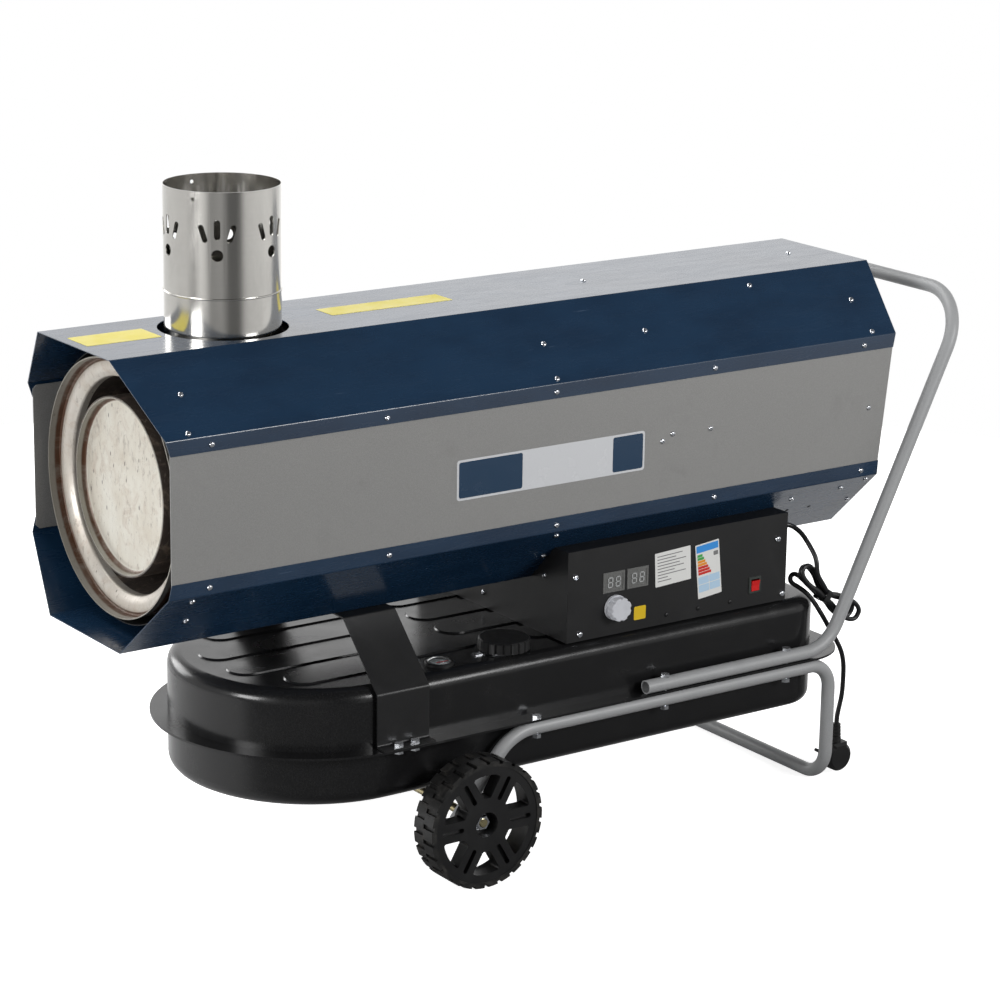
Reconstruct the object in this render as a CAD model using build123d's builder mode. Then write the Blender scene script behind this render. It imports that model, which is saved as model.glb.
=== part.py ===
from build123d import *
import os
from math import atan2, cos, hypot, radians, sin, sqrt, tan

# Indirect diesel heater: an eight-sided sheet metal casing with a flue, on a fuel tank with a wheeled frame
# X runs from the hot air outlet to the handle, Y away from the control panel, Z up
# The origin is on the floor under the middle of the object

# Casing
casing_length = 1171.0
casing_width = 364.0
casing_height = 376.0
casing_floor = 350.0
corner_run = 87.5
sheet = 1.2
bend = 2.5
lip = 19.5
top_visor = 26.0
bottom_visor = 18.0
panel_setback = 8.5
panel_margin = 4.0
panel_corner = 5.0
rear_overhang = 16.0
rear_upper_lip = 5.0
rear_lower_lip = 23.0
rear_floor_setback = 30.0

# Heat exchanger
axis_drop = 2.0
duct_clearance = 2.6
duct_setback = 34.0
duct_length = 720.0
duct_gap = 11.0
jacket_depth = 26.0
warm_gap = 24.0
plate = 1.5
rim_setback = 22.0
rim_flare = 1.5
ring_recess = 18.0
ring_roll = 4.5
ring_lip = 10.0
ring_bends = (2.5, 15.0, 4.0)
jacket_length = 650.0
cap_setback = 35.0
cap_recess = 14.0
cap_fit = 0.2
cap_dome = 4.0
cap_bend = 6.0
chamber_length = 690.0
transfer_setback = 620.0
transfer_diameter = 60.0
spacer_length = 20.0
spacer_width = 26.0
spacer_setback = 90.0
cradle_length = 30.0
cradle_width = 140.0

# Flue
flue_setback = 188.5
flue_diameter = 150.0
flue_height = 185.0
flue_hole = 168.0
flue_wall = 1.0
bead_height = 51.0
bead = 2.4
spigot = 25.0
fit_gap = 0.2
flue_turn = -5.0
flue_clusters = 6
centre_slot = (8.0, 25.0)
centre_slot_height = 138.0
side_slot = (7.0, 23.0)
side_slot_height = 133.0
side_slot_offset = 18.0
side_slot_lean = 17.0
round_hole = 15.0
round_hole_height = 105.5
rim_hole = 5.0
rim_hole_height = 175.0
rim_hole_turn = 24.0

# Burner
burner_diameter = 100.0
burner_length = 110.0
burner_inside = 14.0
burner_flange = 12.0
flame_disc_setback = 22.0
flame_disc_hole = 28.0
flame_disc_slots = 8
flame_slot = (22.0, 5.0)
nozzle_diameter = 16.0
electrode_diameter = 6.0
electrode_offset = 20.0
pump_size = 60.0
pump_length = 50.0
burner_gap = 18.0
pipe_rise = 22.0

# Fan and motor
motor_diameter = 120.0
motor_length = 138.0
end_bell = 26.0
end_bell_step = 5.0
shaft_diameter = 12.0
shaft_grip = 24.0
shaft_gap = 0.05
stand_length = 70.0
stand_width = 130.0
stand_seat = 24.0
stand_sheet = 2.0
fan_gap = 14.0
fan_blades = 5
fan_depth = 34.0
fan_hub = 70.0
blade_root_width = 58.0
blade_root_pitch = 44.0
blade_width = 92.0
blade_pitch = 28.0
blade_camber = 9.0
blade_sheet = 2.0
tip_gap = 5.0
shroud_gap = 14.0
shroud_collar = 52.0
shroud_fit = 0.3
guard_wire = 3.0
guard_rings = 6
guard_spokes = 8
guard_hub = 44.0
guard_overlap = 6.0
limit_switch_diameter = 26.0
limit_switch_height = 13.0
limit_switch_setback = 420.0

# Fuel tank
tank_setback = 128.0
tank_length = 929.0
tank_width = 384.0
tank_corner = 58.0
tank_joint = 193.0
upper_pan = 82.5
lower_pan = 75.0
tank_sheet = 1.5
tank_edge = 18.0
flange_front = 24.0
flange_side = 24.0
flange_rear = 40.0
flange_corner = 80.0
rib_height = 2.0
rib_width = 54.0
rib_pitch = 72.0
rib_draft = 40.0
rib_setback = 43.0
rib_length = 275.0
rear_rib_setback = 369.0
outer_rib_inset = 44.0
near_rib_end = 272.0
near_rear_rib_setback = 452.0
narrow_rib_width = 26.0
narrow_rib_length = 112.0
narrow_rib_offset = 104.0

# Filler cap and level gauge
cap_setback_x = 529.0
cap_inset = 44.0
cap_diameter = 70.0
cap_height = 15.0
cap_grips = 20
cap_groove = 4.0
cap_lift = 0.5
neck_diameter = 50.0
neck_wall = 2.0
neck_height = 10.0
neck_depth = 12.0
neck_gap = 0.3
neck_tab = (14.0, 10.0)
gauge_setback = 422.0
gauge_inset = 39.0
gauge_diameter = 39.0
gauge_bezel = 4.0
gauge_rim = 3.5
gauge_dial_depth = 2.6
gauge_plug = 27.0
gauge_plug_depth = 10.0
gauge_stem = 10.0
gauge_stem_length = 78.0
gauge_dome = 5.0
lens_wall = 1.0
pointer_length = 19.0
pointer_width = 2.4
pointer_thickness = 0.8
pointer_pin = 2.0
float_arm_length = 130.0
float_wire = 3.0
float_gap = 0.05
float_diameter = 26.0
float_length = 44.0
pipe_diameter = 8.0
strainer_diameter = 16.0
strainer_length = 22.0
pipe_foot = 10.0
drain_setback = 760.0
drain_head = 24.0
drain_thread = 16.0
drain_head_height = 8.0

# Saddle between tank and casing
saddle_setback = 337.0
saddle_width = 80.0
saddle_sheet = 2.0
saddle_stand_off = 4.0
saddle_foot = 19.0
saddle_leg = 72.0
saddle_bend = 4.0
saddle_bolt_pitch = 25.0

# Control box
box_setback = 609.0
box_length = 378.0
box_shoulder = 54.0
box_width = 360.0
panel_sheet = 1.5
display_width = 36.0
display_height = 28.5
display_lip = 2.0
display_proud = 1.2
display_recess = 0.8
display_depth = 9.0
display_setback = 76.7
display_pitch = 40.1
display_level = 74.5
knob_setback = 79.0
knob_level = 38.5
knob_diameter = 35.0
knob_depth = 16.5
knob_skirt = 4.0
knob_lobes = 8
knob_lobe_depth = 2.6
knob_lobe_width = 8.0
knob_lift = 0.6
spindle_diameter = 6.0
spindle_length = 14.0
spindle_gap = 0.05
thermostat_diameter = 30.0
thermostat_depth = 20.0
switch_setback = 322.0
switch_level = 30.5
switch_width = 21.0
switch_height = 24.0
switch_lip = 1.5
switch_bezel = 2.0
switch_wall = 3.2
switch_depth = 20.0
switch_cavity = 12.5
rocker_throw = 14.0
rocker_gap = 0.5
rocker_pivot_depth = 4.0
rocker_proud = 0.4
rocker_belly = 5.5
rocker_pin = 3.0
rocker_pin_gap = 0.05
transformer = (70.0, 56.0, 52.0)
transformer_place = (640.0, 70.0)
board = (96.0, 64.0, 1.6)
board_place = (760.0, -80.0)
board_leg = 8.0
gland_level = 98.0
gland_offset = 146.0
gland_nut = 20.0
gland_nut_length = 5.0
gland_body = 14.0
gland_tail = 4.0
gland_inside = 16.0

# Chassis
tube = 19.0
tube_wall = 1.5
tube_inset = 7.0
axle_setback = 422.0
axle_diameter = 12.0
axle_gap = 0.05
front_slope = 50.0
front_bend = 70.0
axle_end = 14.0
leg_inset = 8.0
leg_bend = 36.0
foot_bend = 42.0
grip_back = 107.0
grip_height = 686.0
handle_slope = 64.0
handle_bend = 62.0
grip_bend = 80.0
handle_overlap = 321.0
bolt_diameter = 6.0
bolt_gap = 0.1
bolt_head = 11.0
bolt_head_height = 4.0
nut_height = 5.0
front_bolt_inset = 33.0
rear_bolt_inset = 74.0
nose_bolt_setback = 541.0

# Wheels
wheel_diameter = 174.0
wheel_width = 42.0
wheel_gap = 8.5
tread_depth = 3.5
tread_blocks = 26
tread_groove = 6.0
tyre_thickness = 7.5
rim_wall = 4.5
rim_inset = 1.2
face_wall = 11.0
web_thickness = 20.0
spokes = 6
window_inner = 37.0
window_corner = 3.0
spoke_width = 27.0
spoke_slot = (34.0, 6.5)
spoke_slot_depth = 7.0
hub_boss = 48.0
hub_recess = 20.0
hub_mouth = 34.0
hub_gap = 0.3
axle_nut = 17.0
axle_nut_height = 8.0
axle_stub = 2.0
axle_end_chamfer = 0.9
washer_diameter = 24.0
washer_thickness = 2.0
spacer_diameter = 20.0

# Mains cord
cord_diameter = 6.8

# Positions that follow from the sizes above
reach_front = top_visor
reach_rear = casing_length + grip_back + tube / 2
casing_front = (reach_front - reach_rear) / 2
casing_rear = casing_front + casing_length
casing_top = casing_floor + casing_height
half_width = casing_width / 2
fold_low = casing_floor + corner_run
fold_high = casing_top - corner_run
heat_axis = casing_floor + casing_height / 2 - axis_drop
duct_radius = half_width - 2 * sheet - duct_clearance
jacket_radius = duct_radius - duct_gap
jacket_bore = jacket_radius - jacket_depth
chamber_radius = jacket_bore - warm_gap
ring_front = casing_front + rim_setback
flue_x = casing_front + flue_setback
flue_radius = flue_diameter / 2
chamber_front = casing_front + cap_setback + cap_recess
chamber_rear = chamber_front + chamber_length
burner_front = chamber_rear - burner_inside
pump_front = burner_front + burner_length + burner_gap
motor_front = pump_front + pump_length
motor_rear = motor_front + motor_length
fan_front = motor_rear + fan_gap
shroud_front = motor_rear + shroud_gap
shroud_bore = duct_radius - duct_gap
fan_radius = shroud_bore - plate - tip_gap
tank_front = casing_front + tank_setback
tank_rear = tank_front + tank_length
tank_top = tank_joint + upper_pan
tank_floor = tank_joint - lower_pan
rib_top = tank_top + rib_height
flange_half = tank_width / 2 + flange_side
tube_y = flange_half - tube_inset
lower_tube_z = tank_joint - tank_sheet - tube / 2
handle_z = tank_joint + tank_sheet + tube / 2
wheel_radius = wheel_diameter / 2
axle_x = casing_front + axle_setback
leg_x = tank_rear - leg_inset
grip_x = casing_rear + grip_back
handle_corner_x = grip_x - (grip_height - handle_z) / tan(radians(handle_slope))
handle_end_x = handle_corner_x - handle_overlap
frame_bend_x = axle_x + (lower_tube_z - wheel_radius) / tan(radians(front_slope))
wheel_inner_y = tube_y + tube / 2 + wheel_gap
wheel_outer_y = wheel_inner_y + wheel_width
box_front = casing_front + box_setback
box_rear = box_front + box_length
box_half = box_width / 2
box_top = casing_floor + box_shoulder
saddle_x = casing_front + saddle_setback
bolt_rows = (handle_end_x + front_bolt_inset, handle_corner_x - rear_bolt_inset)
nose_bolt_x = casing_front + nose_bolt_setback

heat_line = Axis((0, 0, heat_axis), (1, 0, 0))
os.makedirs("parts", exist_ok=True)


def finish(piece, name):
    """Label a finished piece and write it under its own name."""
    piece.label = name
    export_step(piece, f"parts/{name}.step")


def across(x):
    """The plane across the casing at x, with the casing's heat axis as its centre."""
    return Plane(origin=(x, 0, heat_axis), x_dir=(0, 1, 0), z_dir=(1, 0, 0))


def folded_strip(points, thickness, radius):
    """Sheet metal seen edge on: a centre line with a bend at each corner."""
    with BuildSketch() as strip:
        with BuildLine():
            FilletPolyline(*points, radius=radius)
        trace(line_width=thickness)
    return strip.sketch_local


def turned(points, thickness, radius):
    """A dished or spun sheet part on the heat axis, from points of (distance along X, radius)."""
    upright = [(x, heat_axis + r) for x, r in points]
    with BuildPart() as spun:
        with BuildSketch(Plane.XZ):
            add(folded_strip(upright, thickness, radius))
            with Locations((points[0][0], heat_axis)):
                Rectangle(2 * casing_width, casing_width, align=(Align.CENTER, Align.MIN), mode=Mode.INTERSECT)
        revolve(axis=heat_line)
    return spun.part


def side_outline():
    """The casing seen from the side: raked ends with a visor over and under the outlet."""
    lip_low = fold_low + lip
    lip_high = fold_high - lip
    with BuildSketch(Plane.XZ) as outline:
        Polygon(
            (casing_front - top_visor, casing_top),
            (casing_front + panel_setback, lip_high),
            (casing_front + panel_setback, lip_low),
            (casing_front - bottom_visor, casing_floor),
            (casing_rear - rear_floor_setback, casing_floor),
            (casing_rear - rear_lower_lip, lip_low),
            (casing_rear - rear_upper_lip, lip_high),
            (casing_rear + rear_overhang, casing_top),
            align=None,
        )
    return outline.sketch


def half_shell(direction):
    """One folded half of the casing, the upper one for direction 1 and the lower one for -1."""
    middle = casing_floor + casing_height / 2
    inset = sheet / 2
    side = half_width - inset
    run = corner_run - inset * (2 - sqrt(2))
    rise = casing_height / 2 - inset
    lip_end = casing_height / 2 - corner_run - lip
    half = [(side, lip_end), (side, rise - run), (side - run, rise)]
    section = [(-y, middle + direction * z) for y, z in half]
    section += [(y, middle + direction * z) for y, z in reversed(half)]
    with BuildPart() as shell:
        with BuildSketch(Plane.YZ):
            add(folded_strip(section, sheet, bend))
        extrude(amount=2 * casing_length, both=True)
        extrude(side_outline(), amount=casing_width, both=True, mode=Mode.INTERSECT)
    return shell.part


# Casing shells and side panels
with BuildPart() as upper_shell:
    add(half_shell(1))
    with BuildSketch(Plane.XY.offset(casing_top - 2 * bend)):
        with Locations((flue_x, 0)):
            Circle(flue_hole / 2)
    extrude(amount=4 * bend, mode=Mode.SUBTRACT)
finish(upper_shell.part, "upper_shell")

with BuildPart() as lower_shell:
    add(half_shell(-1))
    with BuildSketch(Plane.XY.offset(casing_floor - 2 * bend)):
        with Locations((pump_front + pump_length / 2, 0)):
            Circle(pipe_diameter / 2 + 2)
        with Locations(((box_front + box_rear) / 2, -corner_run / 2)):
            SlotOverall(60, 24)
    extrude(amount=4 * bend, mode=Mode.SUBTRACT)
finish(lower_shell.part, "lower_shell")

with BuildPart() as side_panel:
    panel_low = fold_low + panel_margin
    panel_high = fold_high - panel_margin
    with BuildSketch(Plane.XZ.offset(half_width - 2 * sheet)) as panel_face:
        Polygon(
            (casing_front + panel_setback, panel_low),
            (casing_rear - rear_lower_lip, panel_low),
            (casing_rear - rear_lower_lip, fold_low + lip),
            (casing_rear - rear_upper_lip, fold_high - lip),
            (casing_rear - rear_upper_lip, panel_high),
            (casing_front + panel_setback, panel_high),
            align=None,
        )
        chamfer(panel_face.vertices().group_by(Axis.X)[0], panel_corner)
    extrude(amount=sheet)
finish(side_panel.part, "side_panel_left")
finish(mirror(side_panel.part, about=Plane.XZ), "side_panel_right")

# Inner duct round the heat exchanger, and the cradles that carry it on the casing's floor
with BuildPart() as inner_duct:
    with BuildSketch(across(casing_front + duct_setback)):
        Circle(duct_radius)
        Circle(duct_radius - sheet, mode=Mode.SUBTRACT)
    extrude(amount=duct_length)
    with BuildSketch(Plane.XY.offset(heat_axis)):
        with Locations((flue_x, 0)):
            Circle(flue_hole / 2)
    extrude(amount=casing_height, mode=Mode.SUBTRACT)
finish(inner_duct.part, "inner_duct")

cradle_stations = (casing_front + duct_setback + spacer_setback, chamber_rear - spacer_setback)

with BuildPart() as duct_cradles:
    for station in cradle_stations:
        with BuildSketch(Plane.YZ.offset(station)):
            with Locations((0, casing_floor + sheet)):
                Rectangle(cradle_width, corner_run / 5, align=(Align.CENTER, Align.MIN))
            with Locations((0, heat_axis)):
                Circle(duct_radius, mode=Mode.SUBTRACT)
        extrude(amount=cradle_length)
finish(duct_cradles.part, "duct_cradles")

# Outlet ring: the front wall of the exchanger jacket, dished and rolled into the warm gap
ring_profile = [
    (ring_front, jacket_radius + rim_flare - plate / 2),
    (ring_front + ring_recess, jacket_radius - plate / 2),
    (ring_front + ring_recess - ring_roll, (jacket_radius + jacket_bore) / 2),
    (ring_front + ring_recess + ring_roll, jacket_bore + plate / 2),
    (ring_front + ring_recess + ring_roll + ring_lip, jacket_bore + plate / 2),
]
outlet_ring = turned(ring_profile, plate, list(ring_bends))
finish(outlet_ring, "outlet_ring")

jacket_front = ring_front + ring_recess + ring_roll + ring_lip
jacket_rear = jacket_front + jacket_length

with BuildPart() as exchanger_jacket:
    with BuildSketch(across(jacket_front)):
        Circle(jacket_radius)
        Circle(jacket_bore, mode=Mode.SUBTRACT)
    extrude(amount=jacket_length)
    with BuildSketch(across(jacket_front)):
        Circle(jacket_radius - plate)
        Circle(jacket_bore + plate, mode=Mode.SUBTRACT)
    extrude(amount=jacket_length - plate, mode=Mode.SUBTRACT)
    with BuildSketch(across(ring_front + ring_recess + plate)):
        Circle(jacket_radius)
        Circle(jacket_radius - plate, mode=Mode.SUBTRACT)
    extrude(amount=ring_roll + ring_lip - plate)
    with BuildSketch(Plane.XY.offset(heat_axis + jacket_bore + 2 * plate)):
        with Locations((flue_x, 0)):
            Circle(flue_radius - flue_wall)
    extrude(amount=casing_height, mode=Mode.SUBTRACT)
    with BuildSketch(Plane.XY.offset(heat_axis)):
        with Locations((casing_front + transfer_setback, 0)):
            Circle(transfer_diameter / 2 - plate)
    extrude(amount=jacket_bore + jacket_depth / 2, both=True, mode=Mode.SUBTRACT)
finish(exchanger_jacket.part, "exchanger_jacket")

with BuildPart() as jacket_spacers:
    for station in cradle_stations:
        with BuildSketch(across(station)):
            with PolarLocations(duct_radius, 4, start_angle=45):
                Rectangle(4 * duct_gap, spacer_width)
            Circle(duct_radius - sheet, mode=Mode.INTERSECT)
            Circle(jacket_radius, mode=Mode.SUBTRACT)
        extrude(amount=spacer_length)
finish(jacket_spacers.part, "jacket_spacers")

# Combustion chamber with its dished end cap and the ducts that lead its gas into the jacket
cap_front = chamber_front - cap_recess
cap_radius = chamber_radius - plate - cap_fit

with BuildPart() as combustion_chamber:
    with BuildSketch(across(cap_front)):
        Circle(chamber_radius)
    extrude(amount=chamber_rear - cap_front)
    with BuildSketch(across(cap_front)):
        Circle(chamber_radius - plate)
    extrude(amount=chamber_rear - cap_front - plate, mode=Mode.SUBTRACT)
    with BuildSketch(across(chamber_rear - plate)):
        Circle(burner_diameter / 2)
    extrude(amount=plate, mode=Mode.SUBTRACT)
    with BuildSketch(Plane.XY.offset(heat_axis)):
        with Locations((casing_front + transfer_setback, 0)):
            Circle(transfer_diameter / 2 - plate)
    extrude(amount=jacket_bore, both=True, mode=Mode.SUBTRACT)
finish(combustion_chamber.part, "combustion_chamber")

cap_profile = [
    (cap_front, cap_radius - plate / 2),
    (chamber_front - plate / 2, cap_radius - 3 * plate / 2),
    (chamber_front - plate / 2 - cap_dome, -plate),
]
chamber_end_cap = turned(cap_profile, plate, [cap_bend])
finish(chamber_end_cap, "chamber_end_cap")

with BuildPart() as transfer_ducts:
    with BuildSketch(Plane.XY.offset(heat_axis)):
        with Locations((casing_front + transfer_setback, 0)):
            Circle(transfer_diameter / 2)
            Circle(transfer_diameter / 2 - plate, mode=Mode.SUBTRACT)
    extrude(amount=jacket_radius, both=True)
    with Locations(Location((casing_front + transfer_setback, 0, heat_axis), (0, 90, 0))):
        Cylinder(jacket_bore, 2 * transfer_diameter, mode=Mode.INTERSECT)
        Cylinder(chamber_radius, 2 * transfer_diameter, mode=Mode.SUBTRACT)
finish(transfer_ducts.part, "transfer_ducts")

# Flue: a collar on the jacket and a perforated sleeve that slips over its spigot
collar_top = casing_top + bead_height

with BuildPart() as flue_collar:
    with BuildSketch(Plane.XY.offset(heat_axis)):
        with Locations((flue_x, 0)):
            Circle(flue_radius)
            Circle(flue_radius - flue_wall, mode=Mode.SUBTRACT)
    extrude(amount=collar_top - heat_axis)
    with BuildSketch(Plane.XY.offset(collar_top - bead)):
        with Locations((flue_x, 0)):
            Circle(flue_radius + bead / 2)
            Circle(flue_radius - flue_wall, mode=Mode.SUBTRACT)
    extrude(amount=bead)
    fillet(flue_collar.edges().filter_by(GeomType.CIRCLE).sort_by(SortBy.RADIUS)[-2:], bead / 3)
    with BuildSketch(Plane.XY.offset(collar_top - bead)):
        with Locations((flue_x, 0)):
            Circle(flue_radius - flue_wall - fit_gap)
            Circle(flue_radius - 2 * flue_wall - fit_gap, mode=Mode.SUBTRACT)
    extrude(amount=bead + spigot)
    with BuildSketch(Plane.XY.offset(collar_top - bead)):
        with Locations((flue_x, 0)):
            Circle(flue_radius - flue_wall + fit_gap)
            Circle(flue_radius - 2 * flue_wall - fit_gap, mode=Mode.SUBTRACT)
    extrude(amount=flue_wall)
    with Locations(Location((flue_x, 0, heat_axis), (0, 90, 0))):
        Cylinder(jacket_radius, 2 * flue_diameter, mode=Mode.SUBTRACT)
finish(flue_collar.part, "flue_collar")


def flue_face(height, turn):
    """A plane on the sleeve's wall, at a height over the casing, turned about the flue's axis."""
    angle = radians(turn)
    outwards = Vector(cos(angle), sin(angle), 0)
    place = Vector(flue_x, 0, casing_top + height) + outwards * flue_radius
    return Plane(origin=place, x_dir=(-sin(angle), cos(angle), 0), z_dir=outwards)


cluster_turns = [flue_turn + k * 360 / flue_clusters for k in range(flue_clusters)]

with BuildPart() as flue_sleeve:
    with BuildSketch(Plane.XY.offset(collar_top)):
        with Locations((flue_x, 0)):
            Circle(flue_radius)
            Circle(flue_radius - flue_wall, mode=Mode.SUBTRACT)
    extrude(amount=flue_height - bead_height)
    for cluster_turn in cluster_turns:
        with BuildSketch(flue_face(centre_slot_height, cluster_turn)):
            SlotOverall(centre_slot[1], centre_slot[0], rotation=90)
            with Locations((0, round_hole_height - centre_slot_height)):
                Circle(round_hole / 2)
            for side in (-1, 1):
                with Locations((side * side_slot_offset, side_slot_height - centre_slot_height)):
                    SlotOverall(side_slot[1], side_slot[0], rotation=90 - side * side_slot_lean)
        extrude(amount=flue_radius / 4, both=True, mode=Mode.SUBTRACT)
        if cluster_turns.index(cluster_turn) % 2 == 0:
            with BuildSketch(flue_face(rim_hole_height, cluster_turn - rim_hole_turn)):
                Circle(rim_hole / 2)
            extrude(amount=flue_radius / 4, both=True, mode=Mode.SUBTRACT)
finish(flue_sleeve.part, "flue_sleeve")

# Burner: blast tube with its flame disc, nozzle holder and electrodes
burner_rear = burner_front + burner_length
burner_radius = burner_diameter / 2

with BuildPart() as burner_head:
    with BuildSketch(across(burner_front)):
        Circle(burner_radius)
    extrude(amount=burner_length)
    with BuildSketch(across(chamber_rear)):
        Circle(burner_radius + burner_flange)
    extrude(amount=2 * plate)
    with BuildSketch(across(burner_front)):
        Circle(burner_radius - plate)
    extrude(amount=burner_length - 2 * plate, mode=Mode.SUBTRACT)
    with BuildSketch(across(burner_front)):
        Circle(nozzle_diameter / 2)
    extrude(amount=burner_length, mode=Mode.SUBTRACT)
finish(burner_head.part, "burner_head")

disc_front = burner_front + flame_disc_setback

with BuildPart() as flame_disc:
    with BuildSketch(across(disc_front)):
        Circle(burner_radius - plate)
        Circle(flame_disc_hole / 2, mode=Mode.SUBTRACT)
        with PolarLocations((burner_radius + flame_disc_hole / 2) / 2, flame_disc_slots):
            SlotOverall(*flame_slot, mode=Mode.SUBTRACT)
    extrude(amount=plate)
finish(flame_disc.part, "flame_disc")

nozzle_rear = burner_rear + burner_gap / 2 + pipe_diameter / 2

with BuildPart() as burner_nozzle:
    with BuildSketch(across(disc_front + 3 * plate)):
        Circle(nozzle_diameter / 2)
    extrude(amount=nozzle_rear - disc_front - 3 * plate)
    chamfer(burner_nozzle.edges().group_by(Axis.X)[0], nozzle_diameter / 5)
    with BuildSketch(across(disc_front + 2 * plate)):
        with Locations((-electrode_offset, 0), (electrode_offset, 0)):
            Circle(electrode_diameter / 2)
    extrude(amount=burner_rear - 2 * plate - disc_front - 2 * plate)
finish(burner_nozzle.part, "burner_nozzle")

# Fuel pump on the motor's front end, with its pipe to the nozzle and its suction pipe into the tank
pump_middle = pump_front + pump_length / 2

with BuildPart() as fuel_pump:
    with BuildSketch(across(pump_front)):
        RectangleRounded(pump_size, pump_size, pump_size / 8)
    extrude(amount=pump_length)
    chamfer(fuel_pump.faces().sort_by(Axis.X)[0].edges(), plate)
finish(fuel_pump.part, "fuel_pump")


def round_pipe(points, diameter, radius):
    """A pipe of one diameter along a route of straight runs and bends."""
    with BuildPart() as pipe:
        with BuildLine() as route:
            FilletPolyline(*points, radius=radius)
        with BuildSketch(Plane(origin=route.line @ 0, z_dir=route.line % 0)):
            Circle(diameter / 2)
        sweep()
    return pipe.part


drop_x = burner_rear + burner_gap / 2
pipe_top = heat_axis + pump_size / 2 + pipe_rise

with BuildPart() as fuel_pipe:
    add(
        round_pipe(
            [
                (pump_middle, 0, heat_axis + pump_size / 2),
                (pump_middle, 0, pipe_top),
                (drop_x, 0, pipe_top),
                (drop_x, 0, heat_axis),
            ],
            pipe_diameter,
            1.5 * pipe_diameter,
        )
    )
    with BuildSketch(across(burner_rear)):
        Circle(nozzle_diameter / 2)
    extrude(amount=burner_gap, mode=Mode.SUBTRACT)
finish(fuel_pipe.part, "fuel_pipe")

with BuildPart() as suction_pipe:
    with BuildSketch(Plane.XY.offset(tank_floor + pipe_foot)):
        with Locations((pump_middle, 0)):
            Circle(pipe_diameter / 2)
    extrude(amount=heat_axis - pump_size / 2 - tank_floor - pipe_foot)
    with BuildSketch(Plane.XY.offset(tank_floor + pipe_foot)):
        with Locations((pump_middle, 0)):
            Circle(strainer_diameter / 2)
    extrude(amount=strainer_length)
    chamfer(suction_pipe.edges().group_by(Axis.Z)[0], 2)
finish(suction_pipe.part, "suction_pipe")

# Motor on its stand, with the fan on its shaft
motor_radius = motor_diameter / 2
fan_rear = fan_front + fan_depth

with BuildPart() as motor:
    with BuildSketch(across(motor_front)):
        Circle(motor_radius - end_bell_step)
    extrude(amount=motor_length)
    fillet(motor.edges().group_by(Axis.X)[0] + motor.edges().group_by(Axis.X)[-1], end_bell_step)
    with BuildSketch(across(motor_front + end_bell)):
        Circle(motor_radius)
    extrude(amount=motor_length - 2 * end_bell)
    with BuildSketch(across(motor_rear - shaft_grip)):
        Circle(shaft_diameter / 2 + shaft_gap)
    extrude(amount=shaft_grip, mode=Mode.SUBTRACT)
finish(motor.part, "motor")

stand_front = (motor_front + motor_rear - stand_length) / 2
stand_floor = casing_floor + sheet
stand_top = heat_axis - motor_radius + stand_seat

with BuildPart() as motor_stand:
    with BuildSketch(Plane.YZ.offset(stand_front)):
        with Locations((0, stand_floor)):
            Rectangle(stand_width, stand_top - stand_floor, align=(Align.CENTER, Align.MIN))
        with Locations((0, heat_axis)):
            Circle(motor_radius, mode=Mode.SUBTRACT)
    extrude(amount=stand_length)
    with BuildSketch(Plane.YZ.offset(stand_front + stand_sheet)):
        with Locations((0, stand_floor + stand_sheet)):
            Rectangle(stand_width, casing_height, align=(Align.CENTER, Align.MIN))
    extrude(amount=stand_length - 2 * stand_sheet, mode=Mode.SUBTRACT)
finish(motor_stand.part, "motor_stand")


def blade_section(radius, width, pitch):
    """The curved sheet of a fan blade, cut square to the blade at a radius."""
    middle = Vector((fan_front + fan_rear) / 2, 0, heat_axis + radius)
    chord = (sin(radians(pitch)), cos(radians(pitch)), 0)
    with BuildSketch(Plane(origin=middle, x_dir=chord, z_dir=(0, 0, 1))) as section:
        with BuildLine():
            ThreePointArc((-width / 2, 0), (0, blade_camber), (width / 2, 0))
        trace(line_width=blade_sheet)
    return section.sketch


with BuildPart() as fan_blade:
    loft(
        sections=[
            blade_section(fan_hub / 4, blade_root_width, blade_root_pitch),
            blade_section(fan_radius + blade_sheet, blade_width, blade_pitch),
        ]
    )
    with BuildSketch(across(fan_front - blade_width)):
        Circle(fan_radius)
    extrude(amount=2 * blade_width + fan_depth, mode=Mode.INTERSECT)

with BuildPart() as fan_impeller:
    with BuildSketch(across(fan_front)):
        Circle(fan_hub / 2)
    extrude(amount=fan_depth)
    fillet(fan_impeller.edges().group_by(Axis.X)[-1], fan_hub / 12)
    for k in range(fan_blades):
        add(fan_blade.part.rotate(heat_line, k * 360 / fan_blades))
    with BuildSketch(across(fan_front - blade_width)):
        Circle(shaft_diameter)
    extrude(amount=blade_width, mode=Mode.SUBTRACT)
    with BuildSketch(across(motor_rear - shaft_grip + plate)):
        Circle(shaft_diameter / 2)
    extrude(amount=fan_front - motor_rear + shaft_grip)
finish(fan_impeller.part, "fan_impeller")

shroud_rear = shroud_front + shroud_collar

with BuildPart() as fan_shroud:
    with BuildSketch(across(shroud_front)):
        Circle(shroud_bore)
        Circle(shroud_bore - plate, mode=Mode.SUBTRACT)
    extrude(amount=shroud_collar)
    with BuildSketch(Plane.YZ.offset(shroud_rear)):
        with BuildSketch(mode=Mode.PRIVATE) as inside:
            with Locations((0, casing_floor + casing_height / 2)):
                rectangle = Rectangle(casing_width, casing_height)
            chamfer(inside.vertices(), corner_run)
            offset(amount=-2 * sheet - shroud_fit, kind=Kind.INTERSECTION, mode=Mode.REPLACE)
        add(inside.sketch_local)
        with Locations((0, heat_axis)):
            Circle(shroud_bore - plate, mode=Mode.SUBTRACT)
    extrude(amount=plate)
finish(fan_shroud.part, "fan_shroud")

guard_step = (shroud_bore + guard_overlap - guard_hub / 2) / guard_rings

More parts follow.
